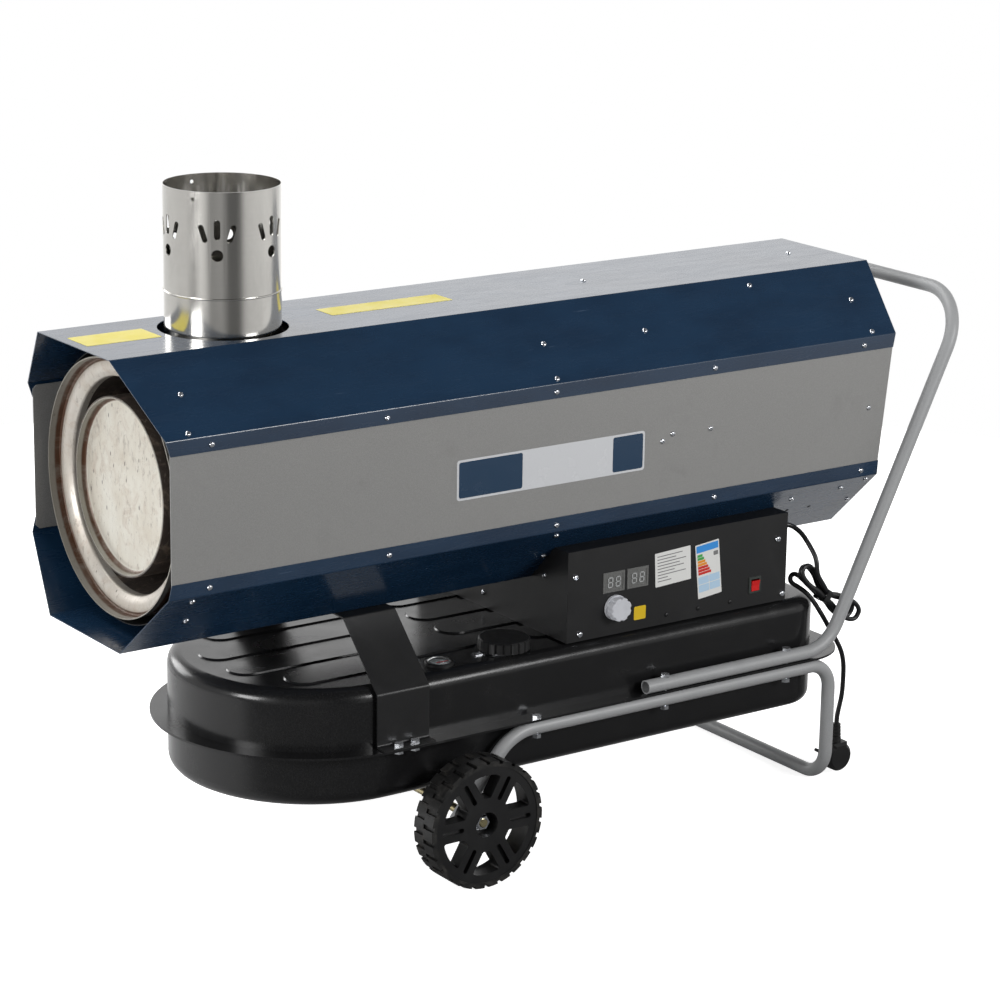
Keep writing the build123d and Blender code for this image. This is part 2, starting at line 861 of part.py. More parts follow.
with BuildPart() as fan_guard:
    with BuildSketch(across(shroud_rear + plate)):
        for k in reversed(range(guard_rings + 1)):
            ring_radius = guard_hub / 2 + k * guard_step
            Circle(ring_radius)
            Circle(ring_radius - guard_wire, mode=Mode.SUBTRACT)
        Circle(guard_hub / 2)
        with PolarLocations((guard_hub / 2 + shroud_bore + guard_overlap - guard_wire) / 2, guard_spokes):
            Rectangle(shroud_bore + guard_overlap - guard_wire / 2 - guard_hub / 2, guard_wire)
    extrude(amount=guard_wire)
finish(fan_guard.part, "fan_guard")

# Overheat thermostat on the inner duct, under a slope of the casing
with BuildPart() as overheat_thermostat:
    with BuildSketch(
        Plane(
            origin=(casing_front + limit_switch_setback, 0, heat_axis),
            x_dir=(1, 0, 0),
            z_dir=(0, -1, 1),
        )
    ):
        Circle(limit_switch_diameter / 2)
    extrude(amount=duct_radius + limit_switch_height)
    chamfer(overheat_thermostat.edges().group_by(Axis((0, 0, 0), (0, -1, 1)))[-1], plate)
    with BuildSketch(across(casing_front + duct_setback)):
        Circle(duct_radius)
    extrude(amount=duct_length, mode=Mode.SUBTRACT)
finish(overheat_thermostat.part, "overheat_thermostat")

# Control box: an open tray under the casing, closed by the control panel on its left side
inner_floor = rib_top + panel_sheet
floor_half = half_width - corner_run
pipe_hole = pipe_diameter / 2

with BuildPart() as control_box:
    with BuildSketch(Plane.YZ.offset(box_front)):
        Polygon(
            (-box_half + panel_sheet, rib_top),
            (box_half, rib_top),
            (box_half, box_top),
            (floor_half + box_shoulder, box_top),
            (floor_half, casing_floor),
            (-floor_half, casing_floor),
            (-floor_half - box_shoulder, box_top),
            (-box_half + panel_sheet, box_top),
            align=None,
        )
    extrude(amount=box_length)
    with BuildSketch(Plane.YZ.offset(box_front + panel_sheet)):
        Polygon(
            (-casing_width, inner_floor),
            (box_half - panel_sheet, inner_floor),
            (box_half - panel_sheet, box_top - panel_sheet),
            (floor_half, box_top - panel_sheet),
            (floor_half, casing_top),
            (-casing_width, casing_top),
            align=None,
        )
    extrude(amount=box_length - 2 * panel_sheet, mode=Mode.SUBTRACT)
    with BuildSketch(Plane.XY.offset(rib_top)):
        with Locations((pump_middle, 0)):
            Circle(pipe_hole)
    extrude(amount=panel_sheet, mode=Mode.SUBTRACT)
    with BuildSketch(Plane.YZ.offset(box_rear - panel_sheet)):
        with Locations((-gland_offset, rib_top + gland_level)):
            Circle(gland_body / 2)
    extrude(amount=panel_sheet, mode=Mode.SUBTRACT)
finish(control_box.part, "control_box")

panel_face = Plane(origin=(box_front, -box_half, rib_top), x_dir=(1, 0, 0), z_dir=(0, -1, 0))
display_middle = display_setback + display_pitch / 2

with BuildPart() as control_panel:
    with BuildSketch(panel_face):
        Rectangle(box_length, box_top - rib_top, align=(Align.MIN, Align.MIN))
        with Locations((display_middle, display_level)):
            with GridLocations(display_pitch, 1, 2, 1):
                Rectangle(display_width - 2 * display_lip, display_height - 2 * display_lip, mode=Mode.SUBTRACT)
        with Locations((knob_setback, knob_level)):
            Circle(spindle_diameter / 2 + spindle_gap, mode=Mode.SUBTRACT)
        with Locations((switch_setback, switch_level)):
            Rectangle(switch_width - 2 * switch_lip, switch_height - 2 * switch_lip, mode=Mode.SUBTRACT)
    extrude(amount=-panel_sheet)
    with BuildSketch(Plane.YZ.offset(box_front + panel_sheet)):
        Polygon(
            (-box_half, box_top),
            (-floor_half - box_shoulder, box_top),
            (-floor_half - box_shoulder + panel_sheet, box_top - panel_sheet),
            (-box_half, box_top - panel_sheet),
            align=None,
        )
    extrude(amount=box_length - 2 * panel_sheet)
finish(control_panel.part, "control_panel")

# Two number displays, each a window in a frame that snaps into the panel
with BuildPart() as number_displays:
    with BuildSketch(panel_face):
        with Locations((display_middle, display_level)):
            with GridLocations(display_pitch, 1, 2, 1):
                Rectangle(display_width, display_height)
    extrude(amount=display_proud)
    chamfer(number_displays.faces().sort_by(Axis.Y)[0:2].edges(), display_proud / 2)
    with BuildSketch(panel_face):
        with Locations((display_middle, display_level)):
            with GridLocations(display_pitch, 1, 2, 1):
                Rectangle(display_width - 2 * display_lip, display_height - 2 * display_lip)
    extrude(amount=-display_depth)
    with BuildSketch(panel_face.offset(display_proud)):
        with Locations((display_middle, display_level)):
            with GridLocations(display_pitch, 1, 2, 1):
                Rectangle(display_width - 3 * display_lip, display_height - 3 * display_lip)
    extrude(amount=-display_recess, mode=Mode.SUBTRACT)
finish(number_displays.part, "number_displays")

# Thermostat knob on its spindle, and the thermostat behind the panel
knob_face = panel_face.offset(knob_lift)

with BuildPart() as thermostat_knob:
    with BuildSketch(knob_face):
        with Locations((knob_setback, knob_level)):
            Circle(knob_diameter / 2)
    extrude(amount=knob_skirt)
    with BuildSketch(knob_face):
        with Locations((knob_setback, knob_level)):
            Circle(knob_diameter / 2 - 1)
            with PolarLocations(knob_diameter / 2 + knob_lobe_width / 2 - knob_lobe_depth, knob_lobes):
                Circle(knob_lobe_width / 2, mode=Mode.SUBTRACT)
    extrude(amount=knob_depth)
    chamfer(thermostat_knob.faces().sort_by(Axis.Y)[0].edges(), 1.2)
    with BuildSketch(knob_face):
        with Locations((knob_setback, knob_level)):
            Circle(spindle_diameter / 2)
    extrude(amount=-knob_lift - spindle_length)
finish(thermostat_knob.part, "thermostat_knob")

with BuildPart() as thermostat_body:
    with BuildSketch(panel_face.offset(-panel_sheet)):
        with Locations((knob_setback, knob_level)):
            Circle(thermostat_diameter / 2)
            Circle(spindle_diameter / 2 + spindle_gap, mode=Mode.SUBTRACT)
    extrude(amount=-thermostat_depth)
finish(thermostat_body.part, "thermostat_body")

# Mains switch: its housing and the rocker that tilts in it, drawn with its lower end pressed in
switch_x = box_front + switch_setback
switch_z = rib_top + switch_level
pivot_y = -box_half - switch_bezel + rocker_pivot_depth
cavity_width = switch_width - 2 * switch_wall
cavity_height = switch_height - 2 * switch_wall
housing_width = switch_width - 2 * switch_lip

with BuildPart() as switch_housing:
    with BuildSketch(panel_face):
        with Locations((switch_setback, switch_level)):
            RectangleRounded(switch_width, switch_height, switch_lip)
    extrude(amount=switch_bezel)
    chamfer(switch_housing.faces().sort_by(Axis.Y)[0].edges(), switch_lip / 2)
    with BuildSketch(panel_face):
        with Locations((switch_setback, switch_level)):
            Rectangle(housing_width, switch_height - 2 * switch_lip)
    extrude(amount=-switch_depth)
    with BuildSketch(panel_face.offset(switch_bezel)):
        with Locations((switch_setback, switch_level)):
            Rectangle(cavity_width, cavity_height)
    extrude(amount=-switch_cavity, mode=Mode.SUBTRACT)
    with BuildSketch(Plane.YZ.offset(switch_x)):
        with Locations((pivot_y, switch_z)):
            Circle(rocker_pin / 2 + rocker_pin_gap)
    extrude(amount=housing_width / 2, both=True, mode=Mode.SUBTRACT)
finish(switch_housing.part, "switch_housing")

rocker_reach = cavity_height / 2 - rocker_gap
rocker_front = rocker_pivot_depth + rocker_proud
rocker_radius = hypot(rocker_reach, rocker_front)
half_throw = radians(rocker_throw / 2)
pressed_angle = atan2(rocker_reach, rocker_front)
raised_angle = pressed_angle - 2 * half_throw

with BuildPart() as rocker:
    with BuildSketch(Plane(origin=(switch_x, pivot_y, switch_z), x_dir=(0, -1, 0), z_dir=(-1, 0, 0))):
        with BuildLine():
            Polyline(
                (-rocker_belly * sin(half_throw), rocker_belly),
                (rocker_radius * cos(raised_angle), rocker_radius * sin(raised_angle)),
                (rocker_front * cos(half_throw), -rocker_front * sin(half_throw)),
                (rocker_radius * cos(pressed_angle), -rocker_radius * sin(pressed_angle)),
                (-rocker_belly * sin(half_throw), -rocker_belly),
            )
            ThreePointArc(
                (-rocker_belly * sin(half_throw), rocker_belly),
                (-rocker_belly, 0),
                (-rocker_belly * sin(half_throw), -rocker_belly),
            )
        make_face()
    extrude(amount=cavity_width / 2 - rocker_gap, both=True)
    with BuildSketch(Plane.YZ.offset(switch_x)):
        with Locations((pivot_y, switch_z)):
            Circle(rocker_pin / 2)
    extrude(amount=housing_width / 2 - rocker_gap, both=True)
finish(rocker.part, "rocker")

# Ignition transformer, circuit board and cord gland
with BuildPart() as ignition_transformer:
    with BuildSketch(Plane.XY.offset(inner_floor)):
        with Locations((casing_front + transformer_place[0] + transformer[0] / 2, transformer_place[1])):
            RectangleRounded(transformer[0], transformer[1], transformer[1] / 10)
    extrude(amount=transformer[2])
    chamfer(ignition_transformer.faces().sort_by(Axis.Z)[-1].edges(), plate)
finish(ignition_transformer.part, "ignition_transformer")

board_x = casing_front + board_place[0]

with BuildPart() as circuit_board:
    with BuildSketch(Plane.XY.offset(inner_floor)):
        with Locations((board_x, board_place[1])):
            with GridLocations(board[0] - board_leg, board[1] - board_leg, 2, 2):
                Circle(board_leg / 3)
    extrude(amount=board_leg)
    with BuildSketch(Plane.XY.offset(inner_floor + board_leg)):
        with Locations((board_x, board_place[1])):
            Rectangle(board[0], board[1])
    extrude(amount=board[2])
    with BuildSketch(Plane.XY.offset(inner_floor + board_leg + board[2])):
        with Locations((board_x, board_place[1])):
            with GridLocations(board[0] / 3, 1, 3, 1):
                Rectangle(board[0] / 5, board[1] / 2)
    extrude(amount=2 * board_leg)
finish(circuit_board.part, "circuit_board")

gland_plane = Plane(
    origin=(box_rear, -gland_offset, rib_top + gland_level),
    x_dir=(0, 1, 0),
    z_dir=(1, 0, 0),
)

with BuildPart() as cord_gland:
    with BuildSketch(gland_plane):
        RegularPolygon(gland_nut / 2, 6, major_radius=False)
    extrude(amount=gland_nut_length)
    with BuildSketch(gland_plane.offset(gland_nut_length)):
        Circle(gland_body / 2)
    extrude(amount=gland_tail, taper=8)
    with BuildSketch(gland_plane):
        Circle(gland_body / 2)
    extrude(amount=-gland_inside)
    with BuildSketch(gland_plane.offset(-panel_sheet)):
        RegularPolygon(gland_nut / 2, 6, major_radius=False)
    extrude(amount=-gland_nut_length / 2)
finish(cord_gland.part, "cord_gland")

# Fuel tank: two deep pans joined at a flange, with ribs pressed into the upper one
nose_x = tank_front + tank_width / 2


def tank_plan(half, rear, corner):
    """The tank seen from above: round in front, with rounded corners behind."""
    with BuildSketch() as plan:
        with Locations((nose_x, 0)):
            Circle(half)
            Rectangle(rear - nose_x, 2 * half, align=(Align.MIN, Align.CENTER))
        fillet(plan.vertices().group_by(Axis.X)[-1], corner)
    return plan.sketch_local


def tank_hollow(depth):
    """The space inside one pan."""
    with BuildPart() as hollow:
        with BuildSketch(Plane.XY.offset(tank_joint)):
            add(tank_plan(tank_width / 2 - tank_sheet, tank_rear - tank_sheet, tank_corner - tank_sheet))
        extrude(amount=depth - tank_sheet)
        fillet(hollow.faces().sort_by(Axis.Z)[-1].edges(), tank_edge - tank_sheet)
    return hollow.part


def tank_pan(depth):
    """One pan with its flange, standing on the joint plane with its mouth down."""
    with BuildPart() as pan:
        with BuildSketch(Plane.XY.offset(tank_joint)):
            add(tank_plan(tank_width / 2, tank_rear, tank_corner))
        extrude(amount=depth)
        fillet(pan.faces().sort_by(Axis.Z)[-1].edges(), tank_edge)
        with BuildSketch(Plane.XY.offset(tank_joint)):
            add(tank_plan(flange_half, tank_rear + flange_rear, flange_corner))
        extrude(amount=tank_sheet)
        add(tank_hollow(depth), mode=Mode.SUBTRACT)
    return pan.part


gauge_x = casing_front + gauge_setback
gauge_y = gauge_inset - tank_width / 2
cap_x = casing_front + cap_setback_x
cap_y = cap_inset - tank_width / 2
frame_bolts_xy = [(x, side * tube_y) for x in (nose_bolt_x, *bolt_rows) for side in (-1, 1)]
saddle_bolts_xy = [
    (saddle_x + k * saddle_bolt_pitch, side * (flange_half - saddle_foot / 2))
    for k in (-0.5, 0.5)
    for side in (-1, 1)
]
bolt_hole = bolt_diameter / 2 + bolt_gap


def rib_between(front, rear, y, width):
    """The outline of one rib: a long pad with round ends."""
    with BuildSketch() as pad:
        with Locations(((front + rear) / 2, y)):
            SlotOverall(rear - front, width)
    return pad.sketch_local


front_rib = tank_front + rib_setback
front_rib_end = front_rib + rib_length
rear_rib = tank_front + rear_rib_setback
rear_rib_end = tank_rear - rib_setback
near_rib_stop = tank_front + near_rib_end
ribs = [
    (front_rib, front_rib_end, -0.5 * rib_pitch, rib_width),
    (front_rib, front_rib_end, 0.5 * rib_pitch, rib_width),
    (front_rib + outer_rib_inset, front_rib_end, 1.5 * rib_pitch, rib_width),
    (front_rib + outer_rib_inset, near_rib_stop, -1.5 * rib_pitch, rib_width),
    (near_rib_stop - narrow_rib_width, near_rib_stop + narrow_rib_length, -narrow_rib_offset, narrow_rib_width),
    (rear_rib, rear_rib_end, -0.5 * rib_pitch, rib_width),
    (rear_rib, rear_rib_end, 0.5 * rib_pitch, rib_width),
    (rear_rib, rear_rib_end, 1.5 * rib_pitch, rib_width),
    (tank_front + near_rear_rib_setback, rear_rib_end, -1.5 * rib_pitch, rib_width),
]

with BuildPart() as tank_upper:
    add(tank_pan(upper_pan))
    for front, rear, y, width in ribs:
        with BuildSketch(Plane.XY.offset(tank_top)):
            add(rib_between(front, rear, y, width))
        extrude(amount=rib_height, taper=rib_draft)
    with BuildSketch(Plane.XY.offset(tank_joint)):
        with Locations(*frame_bolts_xy, *saddle_bolts_xy):
            Circle(bolt_hole)
    extrude(amount=tank_sheet, mode=Mode.SUBTRACT)
    with BuildSketch(Plane.XY.offset(tank_top - 2 * tank_sheet)):
        with Locations((gauge_x, gauge_y)):
            Circle(gauge_plug / 2)
        with Locations((cap_x, cap_y)):
            Circle(neck_diameter / 2)
        with Locations((pump_middle, 0)):
            Circle(pipe_hole)
    extrude(amount=4 * tank_sheet, mode=Mode.SUBTRACT)
finish(tank_upper.part, "tank_upper")

drain_x = tank_front + drain_setback

with BuildPart() as tank_lower:
    add(mirror(tank_pan(lower_pan), about=Plane.XY.offset(tank_joint)))
    with BuildSketch(Plane.XY.offset(tank_joint)):
        with Locations(*frame_bolts_xy, *saddle_bolts_xy):
            Circle(bolt_hole)
    extrude(amount=-tank_sheet, mode=Mode.SUBTRACT)
    with BuildSketch(Plane.XY.offset(tank_floor)):
        with Locations((drain_x, 0)):
            Circle(drain_thread / 2)
    extrude(amount=tank_sheet, mode=Mode.SUBTRACT)
finish(tank_lower.part, "tank_lower")

with BuildPart() as drain_plug:
    with BuildSketch(Plane.XY.offset(tank_floor)):
        with Locations((drain_x, 0)):
            RegularPolygon(drain_head / 2, 6, major_radius=False)
    extrude(amount=-drain_head_height)
    with BuildSketch(Plane.XY.offset(tank_floor)):
        with Locations((drain_x, 0)):
            Circle(drain_thread / 2)
    extrude(amount=4 * tank_sheet)
finish(drain_plug.part, "drain_plug")

# Filler neck and its knurled screw cap
neck_radius = neck_diameter / 2
neck_top = tank_top + neck_height
tab_x = cap_x - cap_diameter / 2 - neck_tab[0] / 2

with BuildPart() as filler_neck:
    with BuildSketch(Plane.XY.offset(tank_top - neck_depth)):
        with Locations((cap_x, cap_y)):
            Circle(neck_radius)
    extrude(amount=neck_depth + neck_height)
    with BuildSketch(Plane.XY.offset(tank_top)):
        with Locations((cap_x, cap_y)):
            Circle(neck_radius + neck_wall)
        with Locations(((tab_x + cap_x - neck_radius) / 2, cap_y)):
            Rectangle(cap_x - neck_radius - tab_x + neck_tab[0], neck_tab[1])
    extrude(amount=tank_sheet)
    with BuildSketch(Plane.XY.offset(tank_top - neck_depth)):
        with Locations((cap_x, cap_y)):
            Circle(neck_radius - neck_wall)
        with Locations((tab_x, cap_y)):
            Circle(neck_tab[1] / 4)
    extrude(amount=neck_depth + neck_height, mode=Mode.SUBTRACT)
finish(filler_neck.part, "filler_neck")

cap_floor = rib_top + cap_lift

with BuildPart() as fuel_cap:
    with BuildSketch(Plane.XY.offset(cap_floor)):
        with Locations((cap_x, cap_y)):
            Circle(cap_diameter / 2)
    extrude(amount=cap_height)
    chamfer(fuel_cap.edges().group_by(Axis.Z)[-1], cap_height / 8)
    with BuildSketch(Plane.XY.offset(cap_floor)):
        with Locations((cap_x, cap_y)):
            with PolarLocations(cap_diameter / 2, cap_grips):
                RegularPolygon(cap_groove / 2, 4)
    extrude(amount=cap_height, mode=Mode.SUBTRACT)
    with BuildSketch(Plane.XY.offset(cap_floor)):
        with Locations((cap_x, cap_y)):
            Circle(neck_radius + neck_gap)
    extrude(amount=neck_top + neck_gap - cap_floor, mode=Mode.SUBTRACT)
finish(fuel_cap.part, "fuel_cap")

# Level gauge: body with its stem, clear dome, pointer, and a float on a swinging arm
gauge_top = tank_top + gauge_bezel
dial_level = gauge_top - gauge_dial_depth
dial_radius = gauge_diameter / 2 - gauge_rim
stem_foot = tank_top - gauge_stem_length
float_pivot_z = stem_foot + gauge_stem / 2
float_radius = float_diameter / 2

with BuildPart() as gauge_body:
    with BuildSketch(Plane.XY.offset(tank_top)):
        with Locations((gauge_x, gauge_y)):
            Circle(gauge_diameter / 2)
    extrude(amount=gauge_bezel)
    chamfer(gauge_body.edges().group_by(Axis.Z)[-1], gauge_rim / 4)
    with BuildSketch(Plane.XY.offset(tank_top)):
        with Locations((gauge_x, gauge_y)):
            Circle(gauge_plug / 2)
    extrude(amount=-gauge_plug_depth)
    with BuildSketch(Plane.XY.offset(tank_top)):
        with Locations((gauge_x, gauge_y)):
            Circle(gauge_stem / 2)
    extrude(amount=-gauge_stem_length)
    with BuildSketch(Plane.XY.offset(dial_level)):
        with Locations((gauge_x, gauge_y)):
            Circle(dial_radius)
    extrude(amount=gauge_dial_depth, mode=Mode.SUBTRACT)
    with BuildSketch(Plane.XY.offset(dial_level)):
        with Locations((gauge_x, gauge_y)):
            Circle(pointer_pin / 2 + float_gap)
    extrude(amount=-gauge_plug_depth / 2, mode=Mode.SUBTRACT)
    with BuildSketch(Plane.YZ.offset(gauge_x)):
        with Locations((gauge_y, float_pivot_z)):
            Circle(float_wire / 2 + float_gap)
    extrude(amount=gauge_stem, both=True, mode=Mode.SUBTRACT)
finish(gauge_body.part, "gauge_body")

lens_foot = dial_level + pointer_thickness + lens_wall
dome_radius = (dial_radius**2 + gauge_dome**2) / (2 * gauge_dome)

with BuildPart() as gauge_lens:
    with BuildSketch(Plane.XY.offset(lens_foot)):
        with Locations((gauge_x, gauge_y)):
            Circle(dial_radius)
    extrude(amount=gauge_top - lens_foot)
    with BuildSketch(Plane.XY.offset(lens_foot)):
        with Locations((gauge_x, gauge_y)):
            Circle(dial_radius - lens_wall)
    extrude(amount=gauge_top - lens_foot, mode=Mode.SUBTRACT)
    with BuildSketch(Plane.XY.offset(gauge_top)):
        with Locations((gauge_x, gauge_y)):
            Circle(dial_radius)
    extrude(amount=gauge_dome)
    with Locations((gauge_x, gauge_y, gauge_top + gauge_dome - dome_radius)):
        Sphere(dome_radius, mode=Mode.INTERSECT)
        Sphere(dome_radius - lens_wall, mode=Mode.SUBTRACT)
finish(gauge_lens.part, "gauge_lens")

with BuildPart() as gauge_pointer:
    with BuildSketch(Plane.XY.offset(dial_level + float_gap)):
        with Locations((gauge_x, gauge_y)):
            Circle(pointer_width)
            with Locations((pointer_length / 2 - 2 * pointer_width, 0)):
                Rectangle(pointer_length, pointer_width)
    extrude(amount=pointer_thickness)
    with BuildSketch(Plane.XY.offset(dial_level + float_gap)):
        with Locations((gauge_x, gauge_y)):
            Circle(pointer_pin / 2)
    extrude(amount=-gauge_plug_depth / 2 + 2 * float_gap)
finish(gauge_pointer.part, "gauge_pointer")

with BuildPart() as gauge_float:
    with BuildSketch(Plane.YZ.offset(gauge_x - gauge_stem)):
        with Locations((gauge_y, float_pivot_z)):
            Circle(float_wire / 2)
    extrude(amount=2 * gauge_stem)
    with BuildSketch(Plane.YZ.offset(gauge_x + gauge_stem)):
        with Locations((gauge_y, float_pivot_z)):
            Circle(float_wire)
    extrude(amount=2 * float_wire)
    with BuildSketch(Plane.XZ.offset(-gauge_y)):
        with Locations((gauge_x + gauge_stem + float_wire, float_pivot_z)):
            Circle(float_wire / 2)
    extrude(amount=-float_arm_length)
    with BuildSketch(Plane.YZ.offset(gauge_x + gauge_stem + float_wire)):
        with Locations((gauge_y + float_arm_length, float_pivot_z)):
            Circle(float_radius)
    extrude(amount=float_length / 2, both=True)
finish(gauge_float.part, "gauge_float")

# Strap saddle that carries the casing on the tank's flange
saddle_y = tank_width / 2 + saddle_stand_off + saddle_sheet / 2
saddle_top = casing_floor - saddle_sheet / 2
saddle_seat = tank_joint + tank_sheet + saddle_sheet / 2
saddle_shoulder = tank_joint + tank_sheet + saddle_leg
saddle_half_top = saddle_y - (saddle_top - saddle_shoulder)
saddle_half = [
    (flange_half - 1, saddle_seat),
    (saddle_y, saddle_seat),
    (saddle_y, saddle_shoulder),
    (saddle_half_top, saddle_top),
]
saddle_line = saddle_half + [(-y, z) for y, z in reversed(saddle_half)]

with BuildPart() as strap_saddle:
    with BuildSketch(Plane.YZ.offset(saddle_x)):
        add(folded_strip(saddle_line, saddle_sheet, saddle_bend))
    extrude(amount=saddle_width / 2, both=True)
    with BuildSketch(Plane.XY.offset(tank_joint)):
        with Locations(*saddle_bolts_xy):
            Circle(bolt_hole)
    extrude(amount=saddle_leg, mode=Mode.SUBTRACT)
finish(strap_saddle.part, "strap_saddle")


def frame_tube(points, radii):
    """A bent steel tube along a route of straight runs and bends."""
    with BuildPart() as pipe:
        with BuildLine() as route:
            FilletPolyline(*points, radius=radii)
        with BuildSketch(Plane(origin=route.line @ 0, z_dir=route.line % 0)):
            Circle(tube / 2)
            Circle(tube / 2 - tube_wall, mode=Mode.SUBTRACT)
        sweep()
    return pipe.part


# Chassis: the lower tube with its cross foot, and the push handle
axle_z = wheel_radius
slope_end_x = axle_x - axle_end * cos(radians(front_slope))
slope_end_z = axle_z - axle_end * sin(radians(front_slope))
lower_half = [
    (slope_end_x, -tube_y, slope_end_z),
    (frame_bend_x, -tube_y, lower_tube_z),
    (leg_x, -tube_y, lower_tube_z),
    (leg_x, -tube_y, tube / 2),
]
lower_route = lower_half + [(x, -y, z) for x, y, z in reversed(lower_half)]

with BuildPart() as lower_frame:
    add(frame_tube(lower_route, [front_bend, leg_bend, foot_bend, foot_bend, leg_bend, front_bend]))
    with BuildSketch(Plane.XY.offset(lower_tube_z)):
        with Locations(*frame_bolts_xy):
            Circle(bolt_hole)
    extrude(amount=tube, both=True, mode=Mode.SUBTRACT)
    with BuildSketch(Plane.XZ):
        with Locations((axle_x, axle_z)):
            Circle(axle_diameter / 2)
    extrude(amount=flange_half + tube, both=True, mode=Mode.SUBTRACT)
finish(lower_frame.part, "lower_frame")

handle_half = [
    (handle_end_x, -tube_y, handle_z),
    (handle_corner_x, -tube_y, handle_z),
    (grip_x, -tube_y, grip_height),
]
handle_route = handle_half + [(x, -y, z) for x, y, z in reversed(handle_half)]

with BuildPart() as handle:
    add(frame_tube(handle_route, [handle_bend, grip_bend, grip_bend, handle_bend]))
    with BuildSketch(Plane.XY.offset(handle_z)):
        with Locations(*frame_bolts_xy):
            Circle(bolt_hole)
    extrude(amount=tube, both=True, mode=Mode.SUBTRACT)
finish(handle.part, "handle")


def bolt(x, y, foot, head):
    """A hexagon bolt with its nut, clamping everything between two heights."""
    with BuildPart() as piece:
        with BuildSketch(Plane.XY.offset(foot - nut_height)):
            with Locations((x, y)):
                Circle(bolt_diameter / 2)
        extrude(amount=head - foot + nut_height)
        with BuildSketch(Plane.XY.offset(head)):
            with Locations((x, y)):
                RegularPolygon(bolt_head / 2, 6, major_radius=False)
        extrude(amount=bolt_head_height)
        with BuildSketch(Plane.XY.offset(foot)):
            with Locations((x, y)):
                RegularPolygon(bolt_head / 2, 6, major_radius=False)
        extrude(amount=-nut_height)
    return piece.part


with BuildPart() as frame_bolts:
    for side in (-1, 1):
        add(bolt(nose_bolt_x, side * tube_y, lower_tube_z - tube / 2, tank_joint + tank_sheet))
        for row in bolt_rows:
            add(bolt(row, side * tube_y, lower_tube_z - tube / 2, handle_z + tube / 2))
    for x, y in saddle_bolts_xy:
        add(bolt(x, y, tank_joint - tank_sheet, tank_joint + tank_sheet + saddle_sheet))
finish(frame_bolts.part, "frame_bolts")

# Axle with its spacers, washers and nuts
wheel_line = Plane(origin=(axle_x, 0, axle_z), x_dir=(1, 0, 0), z_dir=(0, -1, 0))
boss_y = wheel_outer_y - hub_recess
washer_y = boss_y + hub_gap
nut_y = washer_y + washer_thickness
axle_half = nut_y + axle_nut_height + axle_stub
axle_radius = axle_diameter / 2

with BuildPart() as axle:
    with BuildSketch(wheel_line):
        Circle(axle_radius)
    extrude(amount=axle_half, both=True)
    chamfer(axle.edges().filter_by(GeomType.CIRCLE), axle_end_chamfer)
finish(axle.part, "axle")

with BuildPart() as axle_hardware:
    with BuildSketch(wheel_line.offset(tube_y + tube / 2)):
        Circle(spacer_diameter / 2)
        Circle(axle_radius, mode=Mode.SUBTRACT)
    extrude(amount=wheel_gap - hub_gap)
    with BuildSketch(wheel_line.offset(washer_y)):
        Circle(washer_diameter / 2)
        Circle(axle_radius, mode=Mode.SUBTRACT)
    extrude(amount=washer_thickness)
    with BuildSketch(wheel_line.offset(nut_y)):
        RegularPolygon(axle_nut / 2, 6, major_radius=False)
        Circle(axle_radius, mode=Mode.SUBTRACT)
    extrude(amount=axle_nut_height)
    mirror(about=Plane.XZ)
finish(axle_hardware.part, "axle_hardware")

# Wheels: a spoked hub with slotted spokes, and a tyre with two staggered rows of blocks
tyre_bore = wheel_radius - tyre_thickness
window_outer = tyre_bore - face_wall
web_face = wheel_outer_y - rim_inset
spoke_turn = 360 / spokes

with BuildPart() as hub_left:
    with BuildSketch(wheel_line.offset(wheel_inner_y + rim_inset)):
        Circle(tyre_bore)
        Circle(tyre_bore - rim_wall, mode=Mode.SUBTRACT)
    extrude(amount=wheel_width - 2 * rim_inset)
    with BuildSketch(wheel_line.offset(web_face - web_thickness)):
        Circle(tyre_bore)
        with BuildSketch(mode=Mode.PRIVATE) as windows:
            Circle(window_outer)
            Circle(window_inner, mode=Mode.SUBTRACT)
            with PolarLocations(window_outer / 2, spokes):
                Rectangle(window_outer * 1.1, spoke_width, mode=Mode.SUBTRACT)
            fillet(windows.vertices(), window_corner)
        add(windows.sketch_local, mode=Mode.SUBTRACT)
    extrude(amount=web_thickness)
    with BuildSketch(wheel_line.offset(wheel_inner_y)):
        Circle(hub_boss / 2)
    extrude(amount=web_face - wheel_inner_y)
    with BuildSketch(wheel_line.offset(web_face)):
        with PolarLocations((window_inner + window_outer) / 2, spokes):
            SlotOverall(*spoke_slot)
    extrude(amount=-spoke_slot_depth, mode=Mode.SUBTRACT)
    with BuildSketch(wheel_line.offset(boss_y)):
        Circle(hub_mouth / 2)
    extrude(amount=hub_recess, mode=Mode.SUBTRACT)
    with BuildSketch(wheel_line.offset(wheel_inner_y)):
        Circle(axle_radius + axle_gap)
    extrude(amount=wheel_width, mode=Mode.SUBTRACT)
finish(hub_left.part, "hub_left")
finish(mirror(hub_left.part, about=Plane.XZ), "hub_right")

tread_angle = 360 / tread_blocks

with BuildPart() as tyre_left:
    for row in (0, 1):
        with BuildSketch(wheel_line.offset(wheel_inner_y + row * wheel_width / 2)):
            Circle(wheel_radius)
            with PolarLocations(wheel_radius, tread_blocks, start_angle=row * tread_angle / 2):
                Rectangle(2 * tread_depth, tread_groove, mode=Mode.SUBTRACT)
            Circle(tyre_bore, mode=Mode.SUBTRACT)
        extrude(amount=wheel_width / 2)
finish(tyre_left.part, "tyre_left")
finish(mirror(tyre_left.part, about=Plane.XZ), "tyre_right")

